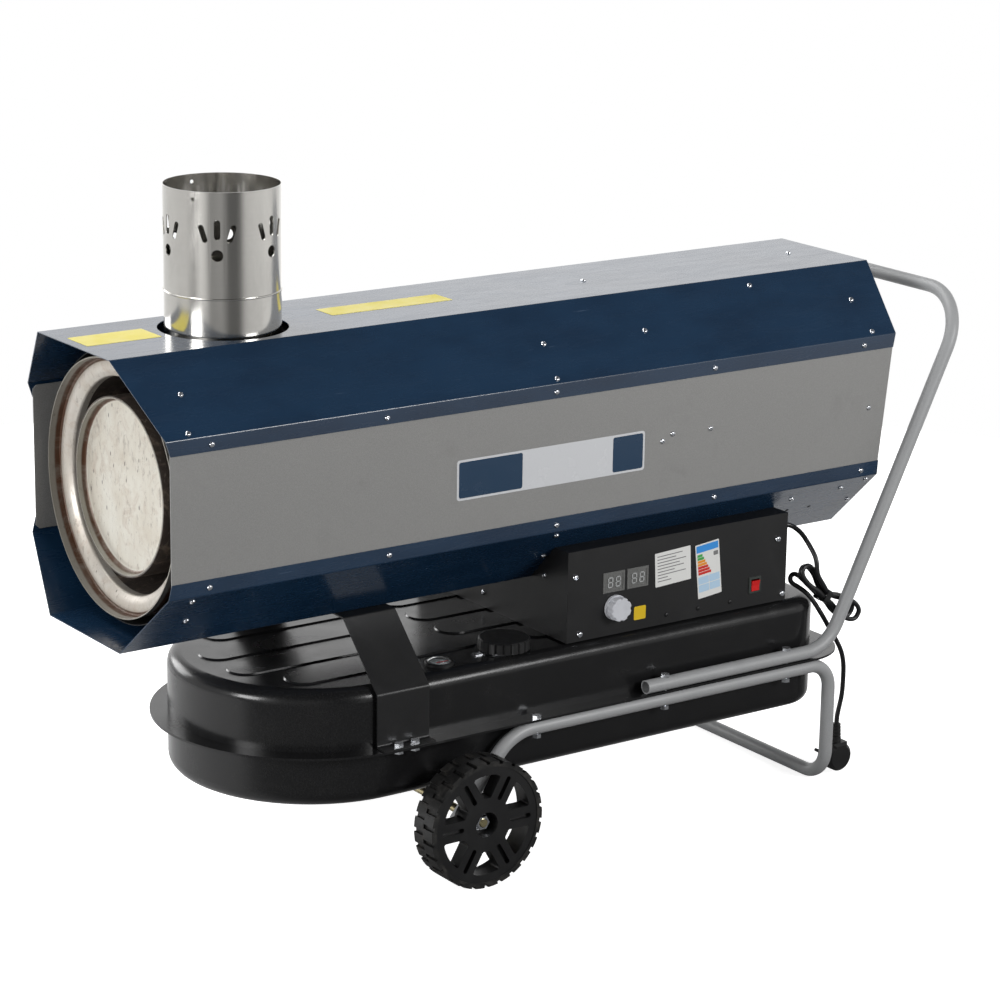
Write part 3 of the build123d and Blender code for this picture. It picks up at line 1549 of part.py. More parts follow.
# Mains cord: it leaves the gland, is wound into a tied hank and hangs down to its plug
cord_radius = cord_diameter / 2
cord_gap = 1.2
cord_step = cord_diameter + cord_gap
hank_centre = Vector(casing_front + 1053.0, -182.0, 275.0)
hank_run = Vector(109.0, -8.0, -70.0).normalized()
hank_rise = (Vector(0, 0, 1) - hank_run * hank_run.Z).normalized()
hank_side = hank_rise.cross(hank_run)
hank_bend = radians(18.0)
left_run = hank_run * cos(hank_bend) - hank_rise * sin(hank_bend)
left_rise = hank_rise * cos(hank_bend) + hank_run * sin(hank_bend)
waist = cord_radius + cord_gap / 2
right_half = 14.0
right_reach = (52.0, 46.0, 49.0)
left_half = (13.0, 12.0)
left_reach = (42.0, 39.0)
last_reach = 44.0
last_rise = 4.0
last_half = 5.6
layers = [(k - 1.5) * cord_step for k in range(4)]


def hank_point(along, rise, layer):
    """A point of the hank's right half, measured from its waist."""
    return hank_centre + hank_run * along + hank_rise * rise + hank_side * layers[layer]


def left_point(along, rise, layer):
    """A point of the hank's left half, which bends up from the waist."""
    return hank_centre - left_run * along + left_rise * rise + hank_side * layers[layer]


hank_stations = []
for turn, reach in enumerate(right_reach):
    hank_stations += [
        (hank_point(0, waist, turn), hank_run),
        (hank_point(reach, right_half, turn), hank_run),
        (hank_point(reach, -right_half, turn), -hank_run),
        (hank_point(0, -waist, turn), -hank_run),
    ]
    if turn < len(left_reach):
        hank_stations += [
            (left_point(left_reach[turn], -left_half[turn], turn + 1), -left_run),
            (left_point(left_reach[turn], left_half[turn], turn + 1), left_run),
        ]
hank_stations += [
    (hank_point(-last_reach, last_rise, 3), -hank_run),
    (hank_point(-last_reach, last_rise - 2 * last_half, 3), hank_run),
]


def arc_pair(start, start_way, end, end_way):
    """Two arcs that join two points with given directions and meet smoothly between them."""
    across_gap = end - start
    both_ways = start_way + end_way
    turn = 2 * (1 - start_way.dot(end_way))
    ahead = across_gap.dot(both_ways)
    if turn < 1e-6:
        reach = across_gap.dot(across_gap) / (2 * ahead)
    else:
        reach = (-ahead + sqrt(ahead**2 + turn * across_gap.dot(across_gap))) / turn
    first = start + start_way * reach
    second = end - end_way * reach
    middle = (first + second) * 0.5
    TangentArc(start, middle, tangent=start_way)
    TangentArc(middle, end, tangent=second - first)


with BuildPart() as cord_hank:
    with BuildLine() as hank_line:
        for k in range(len(hank_stations) - 1):
            arc_pair(*hank_stations[k], *hank_stations[k + 1])
    with BuildSketch(Plane(origin=hank_stations[0][0], z_dir=hank_stations[0][1])):
        Circle(cord_radius)
    sweep()
finish(cord_hank.part, "cord_hank")


def report_hank(line):
    """Print the hank's length, smallest bend radius and least gap to itself."""
    points = []
    lengths = []
    travelled = 0.0
    for edge in line.edges():
        steps = max(2, int(edge.length / 1.5))
        for k in range(steps):
            points.append(edge.position_at(k / steps))
            lengths.append(travelled + edge.length * k / steps)
        travelled += edge.length
    least = min(
        (points[j] - points[k]).length
        for j in range(len(points))
        for k in range(j)
        if lengths[j] - lengths[k] > 2.5 * cord_diameter
    )
    bends = [edge.radius for edge in line.edges() if edge.geom_type == GeomType.CIRCLE]
    print("hank length", round(travelled), "least radius", round(min(bends), 1))
    print("hank least gap", round(least - cord_diameter, 2))
    return travelled


def cord_route(points):
    """Straight runs with the largest bend that each pair of runs allows."""
    bends = []
    for before, here, after in zip(points, points[1:], points[2:]):
        arriving = here - before
        leaving = after - here
        shorter = min(arriving.length, leaving.length)
        bends.append(0.45 * shorter / tan(radians(arriving.get_angle(leaving)) / 2))
    return bends


def cord_tube(points, name):
    """One free stretch of the cord."""
    bends = cord_route(points)
    with BuildPart() as stretch:
        with BuildLine() as route:
            FilletPolyline(*points, radius=bends)
        with BuildSketch(Plane(origin=route.line @ 0, z_dir=route.line % 0)):
            Circle(cord_radius)
        sweep()
    length = sum(edge.length for edge in route.edges())
    volume = stretch.part.volume / (3.14159265 * cord_radius**2 * length)
    print(name, "length", round(length), "radii", [round(r) for r in bends], "volume share", round(volume, 4))
    finish(stretch.part, name)
    return length


gland_tip = Vector(box_rear + gland_nut_length + gland_tail, -gland_offset, rib_top + gland_level)
lead_end = hank_stations[0][0]


def beside_hank(along, rise, side):
    """A point near the hank, measured along, across and beside it."""
    return hank_centre + hank_run * along + hank_rise * rise + hank_side * side


cord_lead = [
    gland_tip,
    gland_tip + Vector(12, 0, 0),
    beside_hank(-82, 63.5, 30),
    beside_hank(-70, 61, 19),
    beside_hank(-60, 52, 6),
    beside_hank(-47, 38, -11),
    beside_hank(-35, 19, -12.5),
    lead_end - hank_run * 20,
    lead_end,
]
tail_start = hank_stations[-1][0]
plug_x = casing_front + 1090.0
plug_y = -184.0
plug_top = 75.0
cord_drop = [
    tail_start,
    tail_start + hank_run * 13,
    Vector(casing_front + 1033, -178, 276),
    Vector(casing_front + 1047.5, -185, 252.5),
    Vector(casing_front + 1061, -189, 229),
    Vector(casing_front + 1075, -191, 207),
    Vector(casing_front + 1087, -191, 187),
    Vector(casing_front + 1094, -189, 166),
    Vector(casing_front + 1097, -186, 142),
    Vector(casing_front + 1097, -185, 118),
    Vector(plug_x + 3, plug_y, 98),
    Vector(plug_x, plug_y, plug_top + 11),
    Vector(plug_x, plug_y, plug_top),
]
cord_length = report_hank(hank_line.line)
cord_length += cord_tube(cord_lead, "mains_cord")
cord_length += cord_tube(cord_drop, "cord_tail")
print("whole cord", round(cord_length))

# Tie round the hank's waist
tie_width = 9.0
tie_sheet = 1.2
tie_gap = 0.9
tie_inside = (
    3 * cord_step - cord_gap + 2 * tie_gap,
    2 * waist + cord_diameter + 2 * tie_gap,
)

with BuildPart() as hank_tie:
    with BuildSketch(Plane(origin=hank_centre - hank_side * (cord_step / 2), x_dir=hank_side, z_dir=hank_run)):
        RectangleRounded(tie_inside[0] + 2 * tie_sheet, tie_inside[1] + 2 * tie_sheet, cord_radius)
        RectangleRounded(*tie_inside, cord_radius - tie_sheet, mode=Mode.SUBTRACT)
    extrude(amount=tie_width / 2, both=True)
finish(hank_tie.part, "hank_tie")

# Plug with side entry: a round body with two pins, and a ringed strain relief above it
plug_body = 42.0
plug_depth = 27.0
plug_floor = 6.0
plug_middle = plug_floor + plug_body / 2
plug_neck = (17.0, 12.0)
plug_rings = 4
pin_diameter = 4.8
pin_length = 19.0
pin_pitch = 19.0
plug_plane = Plane(origin=(plug_x, plug_y - plug_depth / 2, plug_middle), x_dir=(1, 0, 0), z_dir=(0, -1, 0))

with BuildPart() as mains_plug:
    with BuildSketch(plug_plane):
        Circle(plug_body / 2)
        with Locations((0, plug_body / 4)):
            Rectangle(plug_body / 2 + 6, plug_body / 2)
    extrude(amount=-plug_depth)
    chamfer(mains_plug.faces().sort_by(Axis.Y)[0].edges(), 4)
    with BuildSketch(Plane.XY.offset(plug_middle)):
        with Locations((plug_x, plug_y)):
            Circle(plug_neck[0] / 2)
    with BuildSketch(Plane.XY.offset(plug_top)):
        with Locations((plug_x, plug_y)):
            Circle(plug_neck[1] / 2)
    loft()
    for k in range(plug_rings):
        with BuildSketch(Plane.XY.offset(plug_top - 4 - 5 * k)):
            with Locations((plug_x, plug_y)):
                Circle(plug_neck[0] / 2 + 1)
                Circle(plug_neck[1] / 2 - 1, mode=Mode.SUBTRACT)
        extrude(amount=1.8, mode=Mode.SUBTRACT)
    with BuildSketch(plug_plane.offset(-plug_depth)):
        with GridLocations(pin_pitch, 1, 2, 1):
            Circle(pin_diameter / 2)
    extrude(amount=-pin_length)
finish(mains_plug.part, "mains_plug")
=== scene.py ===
"""Looks of a wheeled indirect diesel heater, built round its fixed frame."""

from math import atan2, cos, pi, radians, sin

import bmesh
import bpy
from mathutils import Matrix, Vector


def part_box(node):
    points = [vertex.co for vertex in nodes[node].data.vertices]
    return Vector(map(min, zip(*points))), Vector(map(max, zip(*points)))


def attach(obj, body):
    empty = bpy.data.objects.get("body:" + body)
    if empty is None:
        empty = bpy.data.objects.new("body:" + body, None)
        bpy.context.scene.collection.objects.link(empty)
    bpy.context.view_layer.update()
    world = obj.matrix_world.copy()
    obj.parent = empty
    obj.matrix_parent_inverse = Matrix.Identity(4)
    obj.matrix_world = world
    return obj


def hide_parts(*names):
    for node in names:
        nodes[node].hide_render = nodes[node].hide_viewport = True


bl_info = {
    "name": "Indirect diesel heater",
    "version": (1, 0, 0),
    "blender": (4, 5, 0),
    "location": "View3D > Sidebar > Heater",
    "description": "Finishes, screws, labels and mains cord of an indirect diesel heater",
    "category": "Object",
}

MM = 0.001
CASING_FRONT = -630.75
AXIS_Z = 536.0
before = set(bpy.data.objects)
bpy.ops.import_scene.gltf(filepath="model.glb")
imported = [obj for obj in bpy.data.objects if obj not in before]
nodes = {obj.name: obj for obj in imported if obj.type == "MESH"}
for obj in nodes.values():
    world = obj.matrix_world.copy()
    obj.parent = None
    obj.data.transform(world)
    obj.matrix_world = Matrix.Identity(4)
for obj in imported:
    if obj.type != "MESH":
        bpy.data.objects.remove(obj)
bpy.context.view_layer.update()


# Places on the heater

def at(x, y, z):
    """A point in metres, from millimetres behind the casing's front, across it and over the floor."""
    return Vector(((CASING_FRONT + x) * MM, y * MM, z * MM))


def facing(place, outwards, turn=0.0):
    """A matrix at a place whose Z axis points outwards and whose Y axis is as upright as it can be."""
    outwards = outwards.normalized()
    upright = Vector((0, 0, 1)) if abs(outwards.z) < 0.9 else Vector((0, 1, 0))
    sideways = upright.cross(outwards).normalized()
    upright = outwards.cross(sideways)
    axes = Matrix((sideways, upright, outwards)).transposed().to_4x4()
    return Matrix.Translation(place) @ axes @ Matrix.Rotation(turn, 4, "Z")


def on_surface(node, place, outwards):
    """Where a line that comes in from outside meets a solid, and which way the surface faces there."""
    reach = 0.04
    hit, spot, normal, _ = nodes[node].ray_cast(place + outwards * reach, -outwards, distance=4 * reach)
    if not hit:
        raise RuntimeError(f"nothing of {node} lies at {tuple(place)}")
    return spot, normal


# Nodes of the materials

class Finish:
    """A material under construction: its node tree, its shader and the coordinates that its patterns read."""

    def __init__(self, name, colour, roughness, metallic=0.0):
        self.material = bpy.data.materials.new(name)
        self.material.use_nodes = True
        self.tree = self.material.node_tree
        self.shader = self.tree.nodes["Principled BSDF"]
        self.shader.inputs["Base Color"].default_value = (*colour, 1)
        self.shader.inputs["Roughness"].default_value = roughness
        self.shader.inputs["Metallic"].default_value = metallic
        self.place = self.tree.nodes.new("ShaderNodeTexCoord").outputs["Object"]
        self.bumps = None

    def node(self, kind, **values):
        made = self.tree.nodes.new(kind)
        for name, value in values.items():
            setattr(made, name, value)
        return made

    def join(self, start, end):
        self.tree.links.new(start, end)

    def value(self, name, number):
        self.shader.inputs[name].default_value = number

    def stretched(self, scale, offset=(0, 0, 0)):
        mapping = self.node("ShaderNodeMapping")
        mapping.inputs["Scale"].default_value = scale
        mapping.inputs["Location"].default_value = offset
        self.join(self.place, mapping.inputs["Vector"])
        return mapping.outputs["Vector"]

    def noise(self, scale, detail=3.0, roughness=0.5, stretch=(1, 1, 1), distortion=0.0):
        pattern = self.node("ShaderNodeTexNoise")
        pattern.inputs["Scale"].default_value = scale
        pattern.inputs["Detail"].default_value = detail
        pattern.inputs["Roughness"].default_value = roughness
        pattern.inputs["Distortion"].default_value = distortion
        self.join(self.stretched(stretch), pattern.inputs["Vector"])
        return pattern.outputs["Fac"]

    def cells(self, scale, stretch=(1, 1, 1), feature="F1"):
        pattern = self.node("ShaderNodeTexVoronoi", feature=feature)
        pattern.inputs["Scale"].default_value = scale
        self.join(self.stretched(stretch), pattern.inputs["Vector"])
        return pattern.outputs["Distance"]

    def ranged(self, source, low, high, to_low=0.0, to_high=1.0):
        spread = self.node("ShaderNodeMapRange", interpolation_type="SMOOTHSTEP")
        for name, number in (("From Min", low), ("From Max", high), ("To Min", to_low), ("To Max", to_high)):
            spread.inputs[name].default_value = number
        self.join(source, spread.inputs["Value"])
        return spread.outputs["Result"]

    def maths(self, operation, first, second=0.0):
        step = self.node("ShaderNodeMath", operation=operation)
        for socket, given in zip(step.inputs, (first, second)):
            if isinstance(given, (int, float)):
                socket.default_value = given
            else:
                self.join(given, socket)
        return step.outputs[0]

    def colours(self, factor, first, second):
        mix = self.node("ShaderNodeMix", data_type="RGBA")
        self.join(factor, mix.inputs[0])
        for socket, given in ((mix.inputs[6], first), (mix.inputs[7], second)):
            if isinstance(given, tuple):
                socket.default_value = (*given, 1)
            else:
                self.join(given, socket)
        return mix.outputs[2]

    def from_axis(self, centre, axis_scale):
        """Distance from an axis, in metres."""
        offset = tuple(-c * s for c, s in zip(centre, axis_scale))
        length = self.node("ShaderNodeVectorMath", operation="LENGTH")
        self.join(self.stretched(axis_scale, offset), length.inputs[0])
        return length.outputs["Value"]

    def bump(self, height, strength, distance):
        bump = self.node("ShaderNodeBump")
        bump.inputs["Strength"].default_value = strength
        bump.inputs["Distance"].default_value = distance
        self.join(height, bump.inputs["Height"])
        if self.bumps:
            self.join(self.bumps, bump.inputs["Normal"])
        self.bumps = bump.outputs["Normal"]

    def done(self, colour=None, roughness=None):
        if colour:
            self.join(colour, self.shader.inputs["Base Color"])
        if roughness:
            self.join(roughness, self.shader.inputs["Roughness"])
        if self.bumps:
            self.join(self.bumps, self.shader.inputs["Normal"])
        return self.material


def glossy_enamel(name, colour, deeper):
    """Sprayed enamel on sheet: slightly wavy, with faint wipe marks and a few fine scratches."""
    paint = Finish(name, colour, 0.24)
    paint.value("Coat Weight", 0.35)
    paint.value("Coat Roughness", 0.12)
    cloud = paint.noise(9, 3, 0.55, (1, 1, 2.5))
    wipes = paint.noise(60, 4, 0.7, (0.25, 1, 1.6), 0.8)
    shade = paint.colours(paint.ranged(cloud, 0.3, 0.75), colour, deeper)
    scratch = paint.noise(420, 2, 0.6, (0.03, 1, 0.9), 0.3)
    worn = paint.ranged(scratch, 0.765, 0.785)
    shade = paint.colours(paint.maths("MULTIPLY", worn, 0.35), shade, (0.16, 0.22, 0.32))
    rough = paint.ranged(wipes, 0.3, 0.8, 0.24, 0.31)
    paint.bump(cloud, 0.05, 0.003)
    paint.bump(paint.noise(900, 2), 0.03, 0.0003)
    return paint.done(shade, rough)


def grained_paint(name, colour, lighter):
    """Powder paint with a fine grain and faint smudges."""
    paint = Finish(name, colour, 0.42)
    grain = paint.noise(1500, 2, 0.6)
    smudge = paint.noise(14, 5, 0.6, (1, 1, 1), 0.6)
    fleck = paint.cells(900)
    shade = paint.colours(paint.ranged(grain, 0.35, 0.7), colour, lighter)
    dark = tuple(c * 0.8 for c in colour)
    shade = paint.colours(paint.ranged(smudge, 0.55, 0.85, 0, 0.45), shade, dark)
    shade = paint.colours(paint.ranged(fleck, 0.06, 0.1, 0.35, 0), shade, dark)
    paint.bump(grain, 0.25, 0.0002)
    return paint.done(shade, paint.ranged(smudge, 0.3, 0.8, 0.36, 0.52))


def satin_black(name, roughness, grain_scale, grain_depth, dust=0.25):
    """Black paint with its grain and a trace of dust."""
    paint = Finish(name, (0.009, 0.009, 0.0095), roughness)
    grain = paint.noise(grain_scale, 3, 0.6)
    film = paint.noise(11, 6, 0.65, (1, 1, 1), 0.9)
    shade = paint.colours(paint.ranged(grain, 0.3, 0.75), (0.006, 0.006, 0.0065), (0.013, 0.013, 0.0135))
    shade = paint.colours(paint.ranged(film, 0.5, 0.9, 0, dust), shade, (0.045, 0.043, 0.04))
    paint.value("Specular IOR Level", 0.4)
    paint.bump(grain, grain_depth, 0.0003)
    return paint.done(shade, paint.ranged(film, 0.25, 0.8, roughness - 0.05, roughness + 0.08))


def stained_steel(name, pale, rims):
    """Heated steel sheet: pale, pitted and scored, greyed from the walls outwards as painted shade, and brown
    round the walls where it ran hottest.
    """
    steel = Finish(name, pale, 0.4, 0.3)
    cloud = steel.noise(16, 6, 0.62, (1, 1, 0.6), 0.5)
    specks = steel.noise(170, 4, 0.7, (1, 1, 0.35), 0.5)
    pits = steel.cells(75, (1, 1, 0.45))
    scores = steel.noise(34, 2, 0.5, (1, 1.6, 0.5), 2.5)
    warmer = tuple(c * f for c, f in zip(pale, (0.86, 0.82, 0.78)))
    base = steel.colours(steel.ranged(cloud, 0.35, 0.7), pale, warmer)
    blotch = steel.noise(30, 5, 0.7, (1, 1, 1), 1.2)
    base = steel.colours(steel.ranged(blotch, 0.5, 0.72, 0, 0.5), base, (0.42, 0.33, 0.26))
    base = steel.colours(steel.ranged(specks, 0.56, 0.68, 0, 0.6), base, (0.26, 0.22, 0.19))
    base = steel.colours(steel.ranged(pits, 0.07, 0.13, 0.8, 0), base, (0.10, 0.08, 0.07))
    line = steel.maths("ABSOLUTE", steel.maths("SUBTRACT", scores, 0.5))
    base = steel.colours(steel.ranged(line, 0.001, 0.004, 0.4, 0), base, (0.20, 0.17, 0.15))
    radius = steel.from_axis((0, 0, AXIS_Z * MM), (0, 1, 1))
    along = steel.from_axis((CASING_FRONT * MM, 0, 0), (1, 0, 0))
    for inner, start, end in rims:
        wall = steel.ranged(radius, inner - 0.002, inner)
        past_start = steel.ranged(along, start - 0.002, start + 0.002)
        # Painted shade: the steel turns grey from each wall's bend outwards, where the step walls lie in
        # shade. The brown band below is heat stain.
        base = steel.colours(steel.maths("MULTIPLY", wall, 0.75), base, (0.23, 0.22, 0.19))
        middle = (start + end) / 2
        offset = steel.maths("ABSOLUTE", steel.maths("SUBTRACT", along, middle))
        band = steel.ranged(offset, (end - start) * 0.25, (end - start) * 0.6, 1, 0)
        band = steel.maths("MULTIPLY", steel.maths("MULTIPLY", band, wall), past_start)
        patchy = steel.maths("MULTIPLY", band, steel.ranged(blotch, 0.3, 0.6, 0.6, 1))
        base = steel.colours(patchy, base, (0.085, 0.035, 0.016))
    steel.bump(cloud, 0.12, 0.0015)
    steel.bump(specks, 0.1, 0.0003)
    return steel.done(base, steel.ranged(cloud, 0.3, 0.8, 0.34, 0.5))


def rolled_steel(name, colour):
    """Bright rolled sheet with fine lines round the tube and soft handling marks."""
    steel = Finish(name, colour, 0.16, 1.0)
    lines = steel.noise(300, 3, 0.6, (0.06, 0.06, 5))
    marks = steel.noise(22, 5, 0.6, (1, 1, 0.5), 0.5)
    shade = steel.colours(steel.ranged(marks, 0.4, 0.8), colour, tuple(c * 0.88 for c in colour))
    shade = steel.colours(steel.ranged(lines, 0.35, 0.8, 0, 0.3), shade, tuple(c * 0.85 for c in colour))
    steel.bump(lines, 0.03, 0.0002)
    return steel.done(shade, steel.ranged(marks, 0.3, 0.8, 0.14, 0.22))


def plain_metal(name, colour, roughness):
    metal = Finish(name, colour, roughness, 1.0)
    marks = metal.noise(90, 4, 0.6)
    fine = metal.noise(700, 2, 0.6, (1, 1, 0.3))
    shade = metal.colours(metal.ranged(marks, 0.3, 0.8), colour, tuple(c * 0.7 for c in colour))
    metal.bump(fine, 0.1, 0.0002)
    return metal.done(shade, metal.ranged(marks, 0.3, 0.8, roughness * 0.8, roughness * 1.5))


def moulded_plastic(name, colour, roughness, grain=0.15):
    plastic = Finish(name, colour, roughness)
    fine = plastic.noise(1100, 2, 0.6)
    cloud = plastic.noise(25, 4, 0.6)
    deeper = tuple(c * 0.78 for c in colour)
    shade = plastic.colours(plastic.ranged(cloud, 0.35, 0.75), colour, deeper)
    plastic.bump(fine, grain, 0.0002)
    return plastic.done(shade, plastic.ranged(cloud, 0.3, 0.8, roughness * 0.85, roughness * 1.25))


def tyre_rubber(name):
    rubber = Finish(name, (0.010, 0.010, 0.010), 0.42)
    dust = rubber.noise(45, 6, 0.7, (1, 1, 1), 0.6)
    fine = rubber.noise(800, 3, 0.6)
    shade = rubber.colours(rubber.ranged(dust, 0.45, 0.8), (0.009, 0.009, 0.009), (0.045, 0.041, 0.036))
    rubber.bump(fine, 0.3, 0.0003)
    return rubber.done(shade, rubber.ranged(dust, 0.3, 0.8, 0.34, 0.6))


def clear_plastic(name):
    lens = Finish(name, (0.96, 0.98, 0.98), 0.05)
    lens.value("Transmission Weight", 0.95)
    lens.value("IOR", 1.49)
    haze = lens.noise(60, 3)
    lens.bump(haze, 0.03, 0.0004)
    return lens.done(None, lens.ranged(haze, 0.3, 0.8, 0.03, 0.12))


def printed_sticker(name, colour, roughness=0.38):
    sticker = Finish(name, colour, roughness)
    wrinkle = sticker.noise(35, 4, 0.6)
    scuff = sticker.noise(300, 4, 0.7, (1, 1, 1), 0.5)
    scuffed = tuple(c * 0.7 for c in colour)
    shade = sticker.colours(sticker.ranged(scuff, 0.55, 0.85, 0, 0.35), colour, scuffed)
    sticker.bump(wrinkle, 0.12, 0.0008)
    return sticker.done(shade, sticker.ranged(wrinkle, 0.3, 0.8, roughness * 0.8, roughness * 1.3))


MAKERS = {
    "blue enamel": lambda n: glossy_enamel(n, (0.0085, 0.031, 0.070), (0.006, 0.023, 0.054)),
    "grey panel paint": lambda n: grained_paint(n, (0.215, 0.213, 0.208), (0.30, 0.298, 0.290)),
    "tube grey paint": lambda n: grained_paint(n, (0.30, 0.305, 0.31), (0.36, 0.365, 0.37)),
    "box black powder": lambda n: satin_black(n, 0.42, 1300, 0.35, 0.15),
    "tank black gloss": lambda n: satin_black(n, 0.22, 500, 0.06, 0.12),
    "soot black": lambda n: satin_black(n, 0.55, 300, 0.3, 0.5),
    "outlet ring steel": lambda n: stained_steel(n, (0.56, 0.53, 0.48), ((0.1615, 0.029, 0.040),)),
    "chamber cap steel": lambda n: stained_steel(n, (0.68, 0.66, 0.59), ((0.110, 0.040, 0.049),)),
    "inner steel": lambda n: stained_steel(n, (0.075, 0.062, 0.055), ()),
    "flue steel": lambda n: rolled_steel(n, (0.66, 0.645, 0.61)),
    "zinc steel": lambda n: plain_metal(n, (0.78, 0.80, 0.84), 0.22),
    "cast aluminium": lambda n: plain_metal(n, (0.66, 0.67, 0.68), 0.38),
    "copper": lambda n: plain_metal(n, (0.75, 0.36, 0.2), 0.25),
    "brass": lambda n: plain_metal(n, (0.72, 0.55, 0.24), 0.28),
    "motor paint": lambda n: grained_paint(n, (0.045, 0.047, 0.052), (0.07, 0.072, 0.078)),
    "black plastic": lambda n: moulded_plastic(n, (0.007, 0.007, 0.0075), 0.42),
    "knob plastic": lambda n: moulded_plastic(n, (0.60, 0.61, 0.65), 0.45),
    "red plastic": lambda n: moulded_plastic(n, (0.62, 0.012, 0.012), 0.25, 0.03),
    "display plastic": lambda n: grained_paint(n, (0.085, 0.087, 0.083), (0.19, 0.19, 0.185)),
    "segment plastic": lambda n: moulded_plastic(n, (0.42, 0.43, 0.43), 0.4, 0.02),
    "switch plastic": lambda n: moulded_plastic(n, (0.045, 0.052, 0.048), 0.12, 0.02),
    "yellow zinc": lambda n: plain_metal(n, (0.66, 0.57, 0.33), 0.28),
    "amber sticker": lambda n: printed_sticker(n, (0.74, 0.50, 0.01)),
    "float plastic": lambda n: moulded_plastic(n, (0.7, 0.66, 0.55), 0.5),
    "board green": lambda n: moulded_plastic(n, (0.02, 0.16, 0.05), 0.35, 0.05),
    "cord rubber": lambda n: moulded_plastic(n, (0.010, 0.010, 0.011), 0.36, 0.1),
    "tyre rubber": tyre_rubber,
    "clear lens": clear_plastic,
    "yellow sticker": lambda n: printed_sticker(n, (0.68, 0.58, 0.07)),
    "white sticker": lambda n: printed_sticker(n, (0.74, 0.74, 0.72)),
    "plate white": lambda n: printed_sticker(n, (0.62, 0.63, 0.65), 0.25),
    "plate blue": lambda n: printed_sticker(n, (0.012, 0.04, 0.085), 0.25),
    "sky blue print": lambda n: printed_sticker(n, (0.04, 0.28, 0.72)),
    "pale blue print": lambda n: printed_sticker(n, (0.45, 0.62, 0.78)),
    "green print": lambda n: printed_sticker(n, (0.05, 0.36, 0.07)),
    "orange print": lambda n: printed_sticker(n, (0.78, 0.28, 0.02)),
    "red print": lambda n: printed_sticker(n, (0.62, 0.03, 0.02)),
    "grey print": lambda n: printed_sticker(n, (0.2, 0.2, 0.2)),
    # Black for the thin discs that stand for open holes: painted shade.
    "painted hole shade": lambda n: satin_black(n, 0.8, 300, 0.1, 0.0),
}

made_materials = {}


def material(name):
    if name not in made_materials:
        made_materials[name] = MAKERS[name](name)
    return made_materials[name]


def paint_node(node, name):
    """Gives a solid its finish."""
    slots = nodes[node].data.materials
    slots.clear()
    slots.append(material(name))


# Pieces

def finished_piece(bm, name, names, body, smooth_angle=35.0):
    """Turns a bmesh into a piece that rides on a body and has its place in its mesh."""
    mesh = bpy.data.meshes.new(name)
    bm.to_mesh(mesh)
    bm.free()
    for finish in names:
        mesh.materials.append(material(finish))
    mesh.polygons.foreach_set("use_smooth", [True] * len(mesh.polygons))
    mesh.set_sharp_from_angle(angle=radians(smooth_angle))
    piece = bpy.data.objects.new(name, mesh)
    bpy.context.scene.collection.objects.link(piece)
    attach(piece, body)
    return piece


def gathered(copies):
    """One bmesh that holds copies of small bmeshes, each moved by its own matrix."""
    whole = bmesh.new()
    sources = {}
    for template, place in copies:
        if id(template) not in sources:
            mesh = bpy.data.meshes.new("template")
            template.to_mesh(mesh)
            sources[id(template)] = mesh
        copy = sources[id(template)].copy()
        copy.transform(place)
        whole.from_mesh(copy)
        bpy.data.meshes.remove(copy)
    for mesh in sources.values():
        bpy.data.meshes.remove(mesh)
    return whole


def screw_head(diameter, height, slot_length=0.46, slot_width=0.13):
    """A pan head with a cross recess: rings of twelve points, the last pulled into the cross."""
    bm = bmesh.new()
    radius = diameter / 2
    ring = bmesh.ops.create_circle(bm, segments=12, radius=radius)["verts"]
    bmesh.ops.rotate(bm, cent=(0, 0, 0), matrix=Matrix.Rotation(radians(15), 3, "Z"), verts=ring)
    edges = bm.edges[:]
    cross = slot_length * radius
    for size, rise in ((0.97, 0.45), (0.80, 0.82), (0.56, 1.0), (None, 1.0), (None, 0.35)):
        made = bmesh.ops.extrude_edge_only(bm, edges=edges)["geom"]
        ring = [v for v in made if isinstance(v, bmesh.types.BMVert)]
        edges = [e for e in made if isinstance(e, bmesh.types.BMEdge) and all(v in ring for v in e.verts)]
        for vert in ring:
            angle = Vector((vert.co.x, vert.co.y, 0))
            length = radius * size if size else cross
            if not size and rise == 1.0:
                along = round(angle.normalized().x, 2), round(angle.normalized().y, 2)
                if abs(abs(along[0]) - abs(along[1])) < 0.05:
                    length = slot_width * radius * 2**0.5
            if size or rise == 1.0:
                vert.co.xy = angle.normalized().xy * length
            vert.co.z = height * rise
    bmesh.ops.contextual_create(bm, geom=edges)
    bm.normal_update()
    bmesh.ops.recalc_face_normals(bm, faces=bm.faces[:])
    return bm


def round_plate(diameter, thickness):
    """A thin disc that stands on z = 0."""
    bm = bmesh.new()
    bmesh.ops.create_cone(
        bm, cap_ends=True, segments=32, radius1=diameter / 2, radius2=diameter / 2, depth=thickness,
        matrix=Matrix.Translation((0, 0, thickness / 2)),
    )
    return bm


def ring_plate(outside, bore, thickness):
    """A thin disc with a round hole in the middle, standing on z = 0."""
    bm = bmesh.new()
    corners = [
        bm.verts.new((radius / 2, 0, height))
        for radius, height in ((bore, 0), (outside, 0), (outside, thickness), (bore, thickness))
    ]
    edges = [bm.edges.new((corners[number - 1], corners[number])) for number in range(4)]
    bmesh.ops.spin(
        bm, geom=corners + edges, cent=(0, 0, 0), axis=(0, 0, 1), angle=2 * pi, steps=48, use_merge=True,
    )
    bmesh.ops.recalc_face_normals(bm, faces=bm.faces[:])
    return bm


def flat_plate(width, height, thickness, corner, finish=0):
    """A thin plate with round corners, standing on z = 0."""
    bm = bmesh.new()
    bmesh.ops.create_cube(bm, size=1.0, matrix=Matrix.Diagonal((width, height, thickness, 1)))
    bmesh.ops.translate(bm, vec=(0, 0, thickness / 2), verts=bm.verts[:])
    upright = [e for e in bm.edges if abs(e.verts[0].co.z - e.verts[1].co.z) > thickness / 2]
    if corner:
        bmesh.ops.bevel(bm, geom=upright, offset=corner, segments=4, profile=0.5, affect="EDGES", material=-1)
    for face in bm.faces:
        face.material_index = finish
    return bm


# Camera, floor and light

